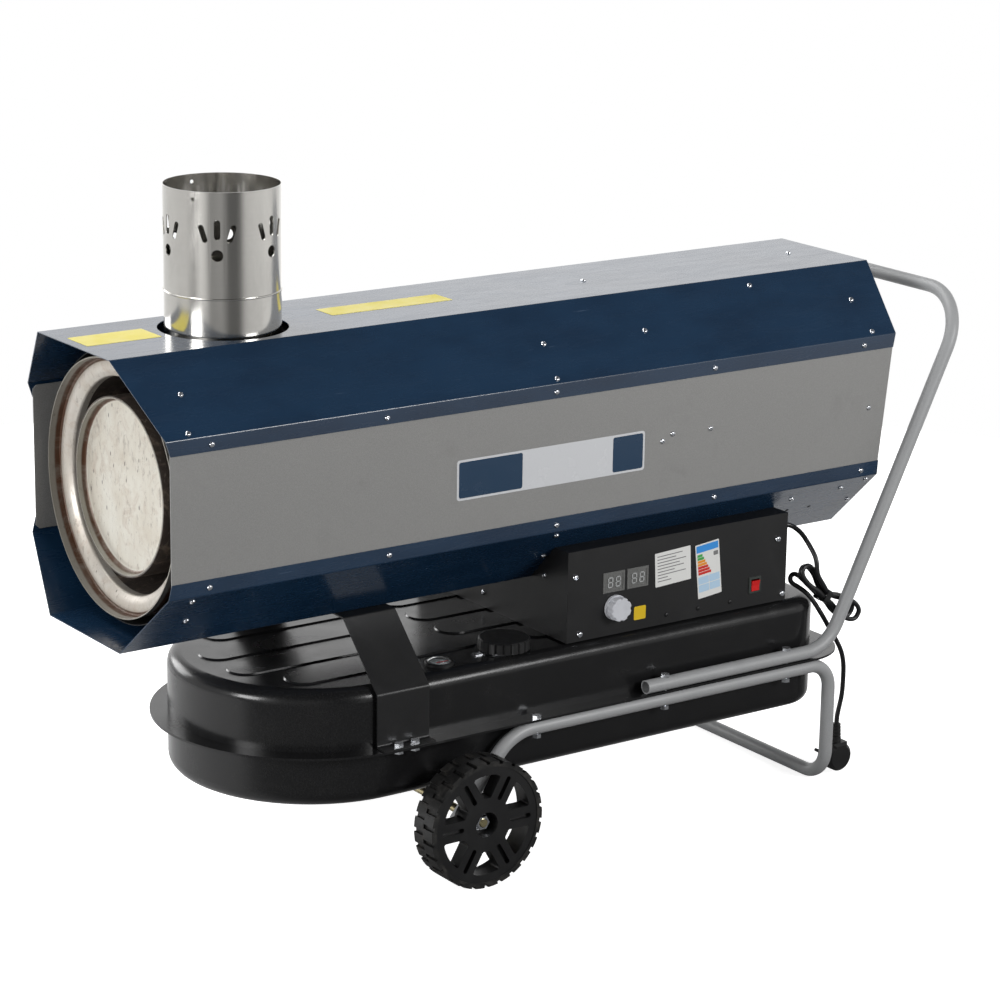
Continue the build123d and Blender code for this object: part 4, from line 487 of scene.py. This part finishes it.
WALLS_ROUND_CAMERA = (
    (0.0, 1.4), (0.10, 0.85), (0.31, 0.68), (0.36, 0.20), (0.395, 0.78), (0.42, 0.72), (0.45, 0.30),
    (0.51, 0.38), (0.55, 0.13), (0.605, 0.12), (0.64, 0.62), (0.78, 0.85), (0.90, 0.85), (1.0, 1.4),
)
WALLS_UPWARDS = ((0.0, 0.5), (0.35, 1.0), (0.66, 1.0), (0.76, 0.35), (0.85, 0.10), (1.0, 0.10))


class StageSettings(bpy.types.PropertyGroup):
    focal_length: bpy.props.FloatProperty(
        name="Focal length", description="Lens of the camera, in millimetres on a 36 mm frame",
        default=3.241 * 36, min=10.0, max=400.0, subtype="DISTANCE_CAMERA",
    )
    camera_place: bpy.props.FloatVectorProperty(
        name="Camera place", description="Where the camera stands", size=3, subtype="XYZ",
        default=tuple(at(-1839, -3502, 1620)), unit="LENGTH",
    )
    camera_yaw: bpy.props.FloatProperty(
        name="Camera yaw", description="How far the camera is turned from the left side towards the outlet",
        default=radians(-35.11), subtype="ANGLE",
    )
    camera_pitch: bpy.props.FloatProperty(
        name="Camera pitch", description="How far the camera looks down",
        default=radians(15.5), subtype="ANGLE",
    )
    camera_roll: bpy.props.FloatProperty(
        name="Camera roll", description="How far the camera leans", default=radians(0.85), subtype="ANGLE",
    )
    floor_colour: bpy.props.FloatVectorProperty(
        name="Floor colour", description="Colour of the studio floor", size=3, subtype="COLOR",
        default=(0.86, 0.86, 0.86), min=0.0, max=1.0,
    )
    floor_radius: bpy.props.FloatProperty(
        name="Floor radius", description="Radius of the studio floor", default=2.3, min=1.0, unit="LENGTH",
    )
    floor_glow: bpy.props.FloatProperty(
        name="Floor glow", description="How far the floor is whitened where nothing lights it",
        default=0.8, min=0.0,
    )
    light_power: bpy.props.FloatProperty(
        name="Light power", description="Power of the soft lights", default=1.0, min=0.0, max=10.0,
    )
    backdrop: bpy.props.FloatProperty(
        name="Backdrop", description="Brightness of the white behind the heater",
        default=1.0, min=0.0, max=4.0,
    )
    room_light: bpy.props.FloatProperty(
        name="Room light", description="Brightness of the studio all round", default=1.0, min=0.0, max=4.0,
    )


def grey_ramp(tree, source, stops):
    """Turns a number from 0 to 1 into a grey, by stops of (place, brightness)."""
    ramp = tree.nodes.new("ShaderNodeValToRGB")
    while len(ramp.color_ramp.elements) < len(stops):
        ramp.color_ramp.elements.new(0.5)
    for stop, (place, grey) in zip(ramp.color_ramp.elements, stops):
        stop.position = place
        stop.color = (grey, grey, grey, 1)
    tree.links.new(source, ramp.inputs["Fac"])
    return ramp.outputs["Color"]


def studio_world(backdrop, room_light, camera_turn):
    """A studio that is white to the camera and has bright and dim walls for the reflections."""
    world = bpy.data.worlds.new("studio")
    world.use_nodes = True
    tree = world.node_tree
    turned = tree.nodes.new("ShaderNodeVectorRotate")
    turned.rotation_type = "Z_AXIS"
    turned.inputs["Angle"].default_value = camera_turn
    tree.links.new(tree.nodes.new("ShaderNodeTexCoord").outputs["Generated"], turned.inputs["Vector"])
    split = tree.nodes.new("ShaderNodeSeparateXYZ")
    tree.links.new(turned.outputs["Vector"], split.inputs["Vector"])
    azimuth = tree.nodes.new("ShaderNodeMath")
    azimuth.operation = "ARCTAN2"
    tree.links.new(split.outputs["Y"], azimuth.inputs[0])
    tree.links.new(split.outputs["X"], azimuth.inputs[1])
    factors = []
    for source, low, high, stops in (
        (azimuth.outputs[0], -pi, pi, WALLS_ROUND_CAMERA), (split.outputs["Z"], -1, 1, WALLS_UPWARDS),
    ):
        spread = tree.nodes.new("ShaderNodeMapRange")
        spread.inputs["From Min"].default_value = low
        spread.inputs["From Max"].default_value = high
        tree.links.new(source, spread.inputs["Value"])
        factors.append(grey_ramp(tree, spread.outputs["Result"], stops))
    walls = tree.nodes.new("ShaderNodeMix")
    walls.data_type = "RGBA"
    walls.blend_type = "MULTIPLY"
    walls.inputs[0].default_value = 1.0
    tree.links.new(factors[0], walls.inputs[6])
    tree.links.new(factors[1], walls.inputs[7])
    felt = tree.nodes["Background"]
    felt.inputs["Strength"].default_value = room_light
    tree.links.new(walls.outputs[2], felt.inputs["Color"])
    seen = tree.nodes.new("ShaderNodeBackground")
    seen.inputs["Color"].default_value = (1, 1, 1, 1)
    seen.inputs["Strength"].default_value = backdrop
    mix = tree.nodes.new("ShaderNodeMixShader")
    tree.links.new(tree.nodes.new("ShaderNodeLightPath").outputs["Is Camera Ray"], mix.inputs[0])
    tree.links.new(felt.outputs[0], mix.inputs[1])
    tree.links.new(seen.outputs[0], mix.inputs[2])
    tree.links.new(mix.outputs[0], tree.nodes["World Output"].inputs["Surface"])
    return world


def floor_material(colour, glow):
    """A floor that looks white from the camera and dim in the heater's reflections."""
    ground = Finish("studio floor", colour, 0.8)
    ground.value("Emission Strength", glow)
    ground.shader.inputs["Emission Color"].default_value = (1, 1, 1, 1)
    dim = ground.node("ShaderNodeBsdfDiffuse")
    behind = ground.ranged(ground.from_axis((0, -3, 0), (0, 1, 0)), 2.72, 2.95)
    ground.join(ground.colours(behind, (0.2, 0.2, 0.2), (0.85, 0.85, 0.85)), dim.inputs["Color"])
    mix = ground.node("ShaderNodeMixShader")
    ground.join(ground.node("ShaderNodeLightPath").outputs["Is Camera Ray"], mix.inputs[0])
    ground.join(dim.outputs[0], mix.inputs[1])
    ground.join(ground.shader.outputs[0], mix.inputs[2])
    ground.join(mix.outputs[0], ground.tree.nodes["Material Output"].inputs["Surface"])
    return ground.done()


class HEATER_OT_stage(bpy.types.Operator):
    """Make the camera, the pale floor and the soft lights"""

    bl_idname = "heater.stage"
    bl_label = "Stage"

    def execute(self, context):
        settings = context.scene.heater_stage
        camera = bpy.data.objects.new("camera", bpy.data.cameras.new("camera"))
        camera.data.lens = settings.focal_length
        camera.data.sensor_width = 36
        camera.data.sensor_fit = "HORIZONTAL"
        camera.data.clip_end = 50
        yaw, pitch, roll = settings.camera_yaw, settings.camera_pitch, settings.camera_roll
        back = Vector((sin(yaw) * cos(pitch), -cos(yaw) * cos(pitch), sin(pitch)))
        right = Vector((0, 0, 1)).cross(back).normalized()
        upwards = back.cross(right)
        leaned = right * cos(roll) + upwards * sin(roll)
        upright = upwards * cos(roll) - right * sin(roll)
        camera.matrix_world = Matrix.Translation(settings.camera_place) @ Matrix(
            (leaned, upright, back)
        ).transposed().to_4x4()
        context.scene.collection.objects.link(camera)
        context.scene.camera = camera

        bm = bmesh.new()
        bmesh.ops.create_circle(bm, cap_ends=True, segments=96, radius=settings.floor_radius)
        mesh = bpy.data.meshes.new("floor")
        bm.to_mesh(mesh)
        bm.free()
        floor = bpy.data.objects.new("floor", mesh)
        context.scene.collection.objects.link(floor)
        mesh.materials.append(floor_material(tuple(settings.floor_colour), settings.floor_glow))

        toward_camera = atan2(settings.camera_place.y, settings.camera_place.x)
        context.scene.world = studio_world(settings.backdrop, settings.room_light, -toward_camera)
        context.scene.view_settings.view_transform = "Standard"
        lamps = (
            ("key", (1.5, -3.8, 2.0), (0.2, 0, 0.5), 1.6, 1.2, 105),
            ("front", (-4.0, -0.5, 1.3), (-0.5, 0, 0.5), 1.2, 1.4, 82),
            ("over", (-0.7, 1.6, 3.4), (0, 0, 0.4), 3.0, 2.4, 90),
            ("rear", (-1.2, 3.6, 1.4), (0.2, 0, 0.5), 2.0, 1.4, 50),
        )
        for name, place, target, width, height, power in lamps:
            light = bpy.data.lights.new(name, "AREA")
            light.shape = "RECTANGLE"
            light.size = width
            light.size_y = height
            light.energy = power * settings.light_power
            lamp = bpy.data.objects.new(name, light)
            aim = (Vector(target) - Vector(place)).to_track_quat("-Z", "Y")
            lamp.matrix_world = Matrix.Translation(place) @ aim.to_matrix().to_4x4()
            context.scene.collection.objects.link(lamp)
        return {"FINISHED"}


# Mains cord

class CordSettings(bpy.types.PropertyGroup):
    diameter: bpy.props.FloatProperty(
        name="Diameter", description="Diameter of the mains cord", default=0.0068, unit="LENGTH",
    )
    gap: bpy.props.FloatProperty(
        name="Gap", description="Space between the hank's turns", default=0.0012, unit="LENGTH",
    )


HANK_CENTRE = at(1053, -182, 275)
HANK_RUN = Vector((109, -8, -70)).normalized()
HANK_RISE = (Vector((0, 0, 1)) - HANK_RUN * HANK_RUN.z).normalized()
HANK_SIDE = HANK_RISE.cross(HANK_RUN)
HANK_BEND = radians(18)


def right_of_waist(along, rise, layer, step):
    """A point of the hank's right half, in millimetres from its waist."""
    side = (layer - 1.5) * step
    return HANK_CENTRE + HANK_RUN * along * MM + HANK_RISE * rise * MM + HANK_SIDE * side


def left_of_waist(along, rise, layer, step):
    """A point of the hank's left half, which bends up from the waist."""
    run = HANK_RUN * cos(HANK_BEND) - HANK_RISE * sin(HANK_BEND)
    up = HANK_RISE * cos(HANK_BEND) + HANK_RUN * sin(HANK_BEND)
    side = (layer - 1.5) * step
    return HANK_CENTRE - run * along * MM + up * rise * MM + HANK_SIDE * side


def cord_route(diameter, gap):
    """The cord's route from the gland to the plug, with its wound hank."""
    step = diameter + gap
    waist = (diameter + gap) / 2 / MM
    gland = Vector((365.25, -146, 375.5)) * MM

    def beside(along, rise, side):
        return HANK_CENTRE + (HANK_RUN * along + HANK_RISE * rise + HANK_SIDE * side) * MM

    start = right_of_waist(0, waist, 0, step)
    route = [gland, gland + Vector((12, 0, 0)) * MM]
    route += [beside(-82, 63.5, 30), beside(-70, 61, 19), beside(-60, 52, 6), beside(-47, 38, -11)]
    route += [beside(-35, 19, -13), left_of_waist(17, waist + 1.8, -0.1, step)]
    right_reach = (49.0, 43.5, 46.0)
    left_reach = (44.0, 41.0)
    left_half = (9.6, 8.8)
    right_half = 12.0
    for turn, reach in enumerate(right_reach):
        for along, rise in (
            (0, waist), (0.30, 0.42), (0.62, 0.92), (0.90, 1.08), (1.13, 1.02), (1.33, 0.62), (1.36, 0),
            (1.33, -0.62), (1.13, -1.02), (0.90, -1.08), (0.62, -0.92), (0.30, -0.42), (0, -waist),
        ):
            height = rise if abs(rise) == waist else rise * right_half
            route.append(right_of_waist(along * reach, height, turn, step))
        if turn < len(left_reach):
            half = left_half[turn]
            shift = (0.0, 0.2, 0.4, 0.6, 0.75, 0.9, 1.0, 1.0, 1.0)
            for (along, rise), moved in zip(
                ((0.35, -0.5), (0.68, -1.0), (1.0, -1.1), (1.25, -0.85), (1.36, 0), (1.25, 0.85),
                 (1.0, 1.1), (0.68, 1.0), (0.35, 0.5)), shift,
            ):
                route.append(left_of_waist(along * left_reach[turn], rise * half, turn + moved, step))
    last = 44.0
    for along, rise in ((-18, 0.5), (-33, 4.6), (-last, 6.4), (-last - 7.5, 5.6), (-last - 11.5, 0.2),
                        (-last - 8, -6.2), (-last, -8), (-34, -7.4)):
        route.append(right_of_waist(along, rise, 3 if along < -18 else 2.5, step))
    route += [
        at(1033, -178, 276), at(1047.5, -185, 252.5), at(1061, -189, 229), at(1075, -191, 207),
        at(1087, -191, 187), at(1094, -189, 166), at(1097, -186, 142), at(1097, -185, 118),
        at(1093, -184, 98), at(1090, -184, 86), at(1090, -184, 75),
    ]
    return route


def nurbs_cord(name, points, diameter, finish):
    curve = bpy.data.curves.new(name, "CURVE")
    curve.dimensions = "3D"
    curve.bevel_depth = diameter / 2
    curve.bevel_resolution = 4
    curve.use_fill_caps = True
    spline = curve.splines.new("NURBS")
    spline.points.add(len(points) - 1)
    for control, point in zip(spline.points, points):
        control.co = (*point, 1)
    spline.order_u = 3
    spline.use_endpoint_u = True
    spline.resolution_u = 8
    curve.materials.append(material(finish))
    piece = bpy.data.objects.new(name, curve)
    bpy.context.scene.collection.objects.link(piece)
    return piece


class HEATER_OT_cord(bpy.types.Operator):
    """Lay the mains cord with its hank, and finish its plug, tie and gland"""

    bl_idname = "heater.cord"
    bl_label = "Mains cord"

    def execute(self, context):
        settings = context.scene.heater_cord
        route = cord_route(settings.diameter, settings.gap)
        cord = nurbs_cord("mains_lead", route, settings.diameter, "cord rubber")
        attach(cord, "chassis")
        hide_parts("mains_cord", "cord_hank", "cord_tail")
        for node in ("mains_plug", "hank_tie", "cord_gland"):
            paint_node(node, "black plastic")
        return {"FINISHED"}


# Finishes of the solids

NODE_FINISHES = {
    "blue enamel": ("upper_shell", "lower_shell"),
    "grey panel paint": ("side_panel_left", "side_panel_right"),
    "tube grey paint": ("lower_frame", "handle"),
    "box black powder": ("control_box", "control_panel", "strap_saddle"),
    "tank black gloss": ("tank_upper", "tank_lower"),
    "soot black": ("inner_duct", "duct_cradles", "fan_shroud", "motor_stand"),
    "outlet ring steel": ("outlet_ring",),
    "chamber cap steel": ("chamber_end_cap",),
    "inner steel": (
        "exchanger_jacket", "jacket_spacers", "combustion_chamber", "transfer_ducts", "burner_head",
        "flame_disc", "burner_nozzle",
    ),
    "flue steel": ("flue_collar", "flue_sleeve"),
    "zinc steel": ("filler_neck", "frame_bolts", "axle_hardware", "fan_guard"),
    "yellow zinc": ("axle",),
    "switch plastic": ("switch_housing",),
    "cast aluminium": ("fuel_pump", "fan_impeller"),
    "copper": ("fuel_pipe", "suction_pipe"),
    "brass": ("overheat_thermostat",),
    "motor paint": ("motor", "ignition_transformer"),
    "black plastic": (
        "thermostat_body", "fuel_cap", "gauge_body", "hub_left", "hub_right", "drain_plug",
    ),
    "knob plastic": ("thermostat_knob",),
    "red plastic": ("rocker", "gauge_pointer"),
    "display plastic": ("number_displays",),
    "float plastic": ("gauge_float",),
    "board green": ("circuit_board",),
    "tyre rubber": ("tyre_left", "tyre_right"),
    "clear lens": ("gauge_lens",),
}


class HEATER_OT_finishes(bpy.types.Operator):
    """Give every solid of the heater its paint, steel, plastic or rubber"""

    bl_idname = "heater.finishes"
    bl_label = "Finishes"

    def execute(self, context):
        for finish, members in NODE_FINISHES.items():
            for node in members:
                paint_node(node, finish)
        return {"FINISHED"}


# Screws

class ScrewSettings(bpy.types.PropertyGroup):
    head_diameter: bpy.props.FloatProperty(
        name="Head diameter", description="Diameter of the sheet screws' heads",
        default=0.0075, unit="LENGTH",
    )
    head_height: bpy.props.FloatProperty(
        name="Head height", description="Height of the sheet screws' heads", default=0.0024, unit="LENGTH",
    )


SLOPE = Vector((0, -1, 1)).normalized()
LOW_SLOPE = Vector((0, -1, -1)).normalized()
LEFT = Vector((0, -1, 0))
UP = Vector((0, 0, 1))
FORWARDS = Vector((-1, 0, 0))

SHELL_SCREWS = (
    ("upper_shell", SLOPE, ((48, -138, 683), (592, -138, 682), (758, -139, 681), (1123, -137, 683),
                            (36, -177, 644), (587, -177, 644), (1130, -176, 644))),
    ("upper_shell", LEFT, ((66, -182, 627.5), (320, -182, 627.5), (583, -182, 627.5), (847, -182, 627.5),
                           (1112, -182, 627.5))),
    ("lower_shell", LEFT, ((61, -182, 446.5), (324, -182, 446.5), (587, -182, 446.5), (852, -182, 446.5),
                           (1116, -182, 446.5))),
    ("lower_shell", LOW_SLOPE, ((41, -174, 430), (593, -174, 429), (1132, -175, 430), (52, -138, 394),
                                (601, -135, 390), (765, -136, 391), (1133, -136, 392))),
)
SINGLE_SCREWS = (
    ("upper_shell", SLOPE, ((964, -105, 714),)),
    ("upper_shell", UP, ((755, -3, 726), (1124, 3, 726))),
    ("side_panel_left", LEFT, ((761, -181, 537), (778, -181, 545), (843, -181, 544), (1126, -181, 536))),
    ("lower_shell", LOW_SLOPE, ((1009, -160, 415), (1095, -165, 420))),
)
PANEL_FACE_Y = -181
BOX_SCREWS = ((16, 299), (-127, 360), (127, 360))
SLOPE_HOLES = ((1022, -136, 391), (1063, -135, 391))
HOLE_DIAMETER = 0.0052
HOLE_THICKNESS = 0.0002
PANEL_HEAD = (0.0092, 0.0030)
SMALL_HEAD = (0.0062, 0.0016)
PANEL_SCREWS = ((621, 368), (630, 287), (970, 368), (981, 287))
SMALL_PANEL_SCREWS = ((777, 290), (832, 290), (888, 290))


class HEATER_OT_screws(bpy.types.Operator):
    """Drive the sheet screws into the casing and the control panel"""

    bl_idname = "heater.screws"
    bl_label = "Screws"

    def execute(self, context):
        settings = context.scene.heater_screws
        head = screw_head(settings.head_diameter, settings.head_height)
        copies = []
        turn = 0.0
        for node, outwards, places in SHELL_SCREWS + SINGLE_SCREWS:
            for place in places:
                turn += 0.7
                spot, normal = on_surface(node, at(*place), outwards)
                copies.append((head, facing(spot, normal, turn)))
        for node, outwards, places in SHELL_SCREWS:
            for x, y, z in places:
                turn += 0.7
                mirrored = Vector((outwards.x, -outwards.y, outwards.z))
                spot, normal = on_surface(node, at(x, -y, z), mirrored)
                copies.append((head, facing(spot, normal, turn)))
        for y, z in BOX_SCREWS:
            spot, normal = on_surface("control_box", at(609, y, z), FORWARDS)
            copies.append((head, facing(spot, normal, y * 0.3)))
        finished_piece(gathered(copies), "casing_screws", ["zinc steel"], "chassis", 30)

        # Thin black discs on the slope stand for its holes: painted shade where the inside of the casing
        # shows dark.
        hole = round_plate(HOLE_DIAMETER, HOLE_THICKNESS)
        holes = []
        for place in SLOPE_HOLES:
            spot, normal = on_surface("lower_shell", at(*place), LOW_SLOPE)
            holes.append((hole, facing(spot, normal)))
        finished_piece(gathered(holes), "painted_hole_shades", ["painted hole shade"], "chassis", 30)

        panel_head = screw_head(*PANEL_HEAD)
        small_head = screw_head(*SMALL_HEAD)
        silver = []
        black = []
        for x, z in PANEL_SCREWS:
            spot, normal = on_surface("control_panel", at(x, PANEL_FACE_Y, z), LEFT)
            silver.append((panel_head, facing(spot, normal, x * 0.4)))
        for x, z in SMALL_PANEL_SCREWS:
            spot, normal = on_surface("control_panel", at(x, PANEL_FACE_Y, z), LEFT)
            black.append((small_head, facing(spot, normal, x * 0.4)))
        finished_piece(gathered(silver), "panel_screws", ["zinc steel"], "chassis", 30)
        finished_piece(
            gathered(black), "panel_small_screws", ["black plastic"], "chassis", 30,
        )
        return {"FINISHED"}


# Dial of the level gauge

class DialSettings(bpy.types.PropertyGroup):
    diameter: bpy.props.FloatProperty(
        name="Diameter", description="Diameter of the pale dial under the clear dome",
        default=0.0312, unit="LENGTH",
    )
    bore: bpy.props.FloatProperty(
        name="Bore", description="Hole that the pointer's pin goes through", default=0.0023, unit="LENGTH",
    )
    marks: bpy.props.IntProperty(
        name="Marks", description="Number of marks from empty to full", default=9, min=2, max=25,
    )
    sweep: bpy.props.FloatProperty(
        name="Sweep", description="Angle from the first mark to the last",
        default=radians(120), subtype="ANGLE",
    )


GAUGE_PLACE = (422, -153, 276.9)
DIAL_THICKNESS = 0.00001
MARK_THICKNESS = 0.00002
LONG_MARK = (0.0011, 0.0006)
SHORT_MARK = (0.0007, 0.0004)
MARK_MARGIN = 0.0001


class HEATER_OT_dial(bpy.types.Operator):
    """Lay the pale dial with its marks in the level gauge"""

    bl_idname = "heater.dial"
    bl_label = "Gauge dial"

    def execute(self, context):
        settings = context.scene.heater_dial
        middle = Matrix.Translation(at(*GAUGE_PLACE))
        parts = [(ring_plate(settings.diameter, settings.bore, DIAL_THICKNESS), middle)]
        marks = [(flat_plate(*size, MARK_THICKNESS, 0, 1), size[0]) for size in (LONG_MARK, SHORT_MARK)]
        for number in range(settings.marks):
            turn = settings.sweep * (number / (settings.marks - 1) - 0.5)
            mark, length = marks[number % 2]
            outwards = Matrix.Translation((settings.diameter / 2 - length / 2 - MARK_MARGIN, 0, 0))
            parts.append((mark, middle @ Matrix.Rotation(turn, 4, "Z") @ outwards))
        finishes = ["plate white", "grey print"]
        finished_piece(gathered(parts), "gauge_dial", finishes, "chassis")
        return {"FINISHED"}


# Labels and displays

def segment_digit(width, height, stroke, slant):
    """The seven bars of a number display, all of them in place."""
    bm = bmesh.new()
    half = height / 2
    bars = [(0, half, 0), (0, 0, 0), (0, -half, 0)]
    bars += [(side * width / 2, level * half / 2, 1) for side in (-1, 1) for level in (-1, 1)]
    for x, y, upright in bars:
        length = (half if upright else width) - stroke * 0.5
        size = Matrix.Diagonal((length, stroke, stroke * 0.25, 1))
        bar = bmesh.ops.create_cube(bm, size=1.0, matrix=size)["verts"]
        own = [e for e in bm.edges if all(v in bar for v in e.verts)]
        ends = [e for e in own if abs(e.verts[0].co.z - e.verts[1].co.z) > 1e-6]
        made = bmesh.ops.bevel(
            bm, geom=ends, offset=stroke * 0.42, segments=1, profile=0.5, affect="EDGES", material=-1,
        )
        fresh = {v for f in made["faces"] for v in f.verts} | {v for v in bar if v.is_valid}
        fresh = [v for v in bm.verts if v in fresh]
        if upright:
            bmesh.ops.rotate(bm, cent=(0, 0, 0), matrix=Matrix.Rotation(pi / 2, 3, "Z"), verts=fresh)
        bmesh.ops.translate(bm, vec=(x + y * slant, y, 0), verts=fresh)
    return bm


class LabelSettings(bpy.types.PropertyGroup):
    thickness: bpy.props.FloatProperty(
        name="Thickness", description="Thickness of the stickers", default=0.0003, unit="LENGTH",
    )


DIGIT = {"width": 0.0068, "height": 0.0132, "stroke": 0.0016, "slant": 0.06}
DISPLAY_MIDDLES = (685.7, 725.8)
DIGIT_OFFSET = 6.4
DIGIT_LEVEL = 352
LINE_WIDTHS = (0.043, 0.032, 0.049, 0.038, 0.045, 0.029, 0.048, 0.017, 0.023)
LINE_HEIGHT = 0.0013
LINE_PITCH = 0.0044
BAR_FINISHES = (2, 2, 3, 3, 4, 4, 4)
BAR_PITCH = 0.0043
TOP_STICKERS = (("front_yellow_sticker", 40.5, 14, 105, 54), ("top_yellow_sticker", 436, 4, 188, 42))
SIDE_FIELDS = ((0.1, -0.0985), (0.05, 0.1235))


def lay_on_panel(parts, name, finishes, x, z, turn=0.0):
    """A flat label on the control panel, made of parts given as (bmesh, x, y, lift) from its middle."""
    spot, normal = on_surface("control_panel", at(x, PANEL_FACE_Y, z), LEFT)
    place = facing(spot, normal, turn)
    copies = [(bm, place @ Matrix.Translation((dx, dy, lift))) for bm, dx, dy, lift in parts]
    return finished_piece(gathered(copies), name, finishes, "chassis")


class HEATER_OT_labels(bpy.types.Operator):
    """Stick the bare labels on the heater and fit the digits of the displays"""

    bl_idname = "heater.labels"
    bl_label = "Labels"

    def execute(self, context):
        thick = context.scene.heater_labels.thickness
        print_depth = thick * 0.3
        digits = []
        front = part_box("number_displays")[0].y
        digit = segment_digit(**DIGIT)
        for middle in DISPLAY_MIDDLES:
            for side in (-1, 1):
                place = at(middle + side * DIGIT_OFFSET, 0, DIGIT_LEVEL)
                place.y = front
                digits.append((digit, facing(place, LEFT)))
        finished_piece(gathered(digits), "display_digits", ["segment plastic"], "chassis")

        plate = [(flat_plate(0.061, 0.048, thick, 0.001), 0, 0, 0)]
        for row, width in enumerate(LINE_WIDTHS):
            bar = flat_plate(width, LINE_HEIGHT, print_depth, 0, 1)
            plate.append((bar, width / 2 - 0.0265, 0.0185 - row * LINE_PITCH, thick))
        lay_on_panel(
            plate, "bare_type_plate", ["white sticker", "grey print"], 786, 357.5, radians(3),
        )

        card = [(flat_plate(0.041, 0.078, thick, 0.001), 0, 0, 0)]
        card.append((flat_plate(0.038, 0.010, print_depth, 0, 1), 0, 0.032, thick))
        for row, finish in enumerate(BAR_FINISHES):
            bar = flat_plate(0.009 + 0.0022 * row, 0.0037, print_depth, 0, finish)
            card.append((bar, -0.0135 + 0.0011 * row, 0.0225 - row * BAR_PITCH, thick))
        for column, row in ((-1, 0), (1, 0), (-1, 1), (1, 1)):
            field = flat_plate(0.018, 0.0105, print_depth, 0.001, 5)
            card.append((field, column * 0.0095, -0.0135 - row * 0.0115, thick))
        card.append((flat_plate(0.008, 0.006, print_depth, 0.001, 6), 0.014, 0.0205, thick))
        names = [
            "white sticker", "sky blue print", "green print", "orange print", "red print",
            "pale blue print", "grey print",
        ]
        lay_on_panel(card, "plain_colour_card", names, 848, 344, radians(6))

        square = [(flat_plate(0.020, 0.019, thick, 0.002), 0, 0, 0)]
        lay_on_panel(square, "plain_yellow_square", ["amber sticker"], 731, 301, 0.0)

        for name, x, y, length, width in TOP_STICKERS:
            spot, normal = on_surface("upper_shell", at(x, y, 726), UP)
            copies = [(flat_plate(length * MM, width * MM, thick, 0.002), facing(spot, normal))]
            finished_piece(gathered(copies), name, ["yellow sticker"], "chassis")

        spot, normal = on_surface("side_panel_left", at(579.5, -181, 529), LEFT)
        place = facing(spot, normal)
        copies = [(flat_plate(0.303, 0.054, thick, 0.004), place)]
        for length, sideways in SIDE_FIELDS:
            field = flat_plate(length, 0.048, print_depth, 0.003, 1)
            copies.append((field, place @ Matrix.Translation((sideways, 0, thick))))
        finishes = ["plate white", "plate blue"]
        finished_piece(gathered(copies), "bare_side_plate", finishes, "chassis")
        return {"FINISHED"}


class HEATER_PT_panel(bpy.types.Panel):
    """Shows the heater's settings and the buttons of its steps"""

    bl_idname = "HEATER_PT_panel"
    bl_label = "Heater"
    bl_space_type = "VIEW_3D"
    bl_region_type = "UI"
    bl_category = "Heater"

    def draw(self, context):
        for name in ("stage", "cord", "screws", "dial", "labels"):
            column = self.layout.column()
            settings = getattr(context.scene, "heater_" + name)
            for field in settings.bl_rna.properties:
                if field.identifier not in ("name", "rna_type"):
                    column.prop(settings, field.identifier)
        for operator in OPERATORS:
            self.layout.operator(operator.bl_idname)


SETTINGS = {
    "heater_stage": StageSettings,
    "heater_cord": CordSettings,
    "heater_screws": ScrewSettings,
    "heater_dial": DialSettings,
    "heater_labels": LabelSettings,
}
OPERATORS = (
    HEATER_OT_stage, HEATER_OT_cord, HEATER_OT_finishes, HEATER_OT_screws, HEATER_OT_dial, HEATER_OT_labels,
)


def register():
    for group in SETTINGS.values():
        bpy.utils.register_class(group)
    for name, group in SETTINGS.items():
        setattr(bpy.types.Scene, name, bpy.props.PointerProperty(type=group))
    for operator in OPERATORS:
        bpy.utils.register_class(operator)
    bpy.utils.register_class(HEATER_PT_panel)


def unregister():
    bpy.utils.unregister_class(HEATER_PT_panel)
    for operator in reversed(OPERATORS):
        bpy.utils.unregister_class(operator)
    for name in SETTINGS:
        delattr(bpy.types.Scene, name)
    for group in reversed(list(SETTINGS.values())):
        bpy.utils.unregister_class(group)


def main():
    register()
    bpy.ops.heater.stage()
    bpy.ops.heater.cord()
    bpy.ops.heater.finishes()
    bpy.ops.heater.screws()
    bpy.ops.heater.dial()
    bpy.ops.heater.labels()


if __name__ == "__main__":
    main()
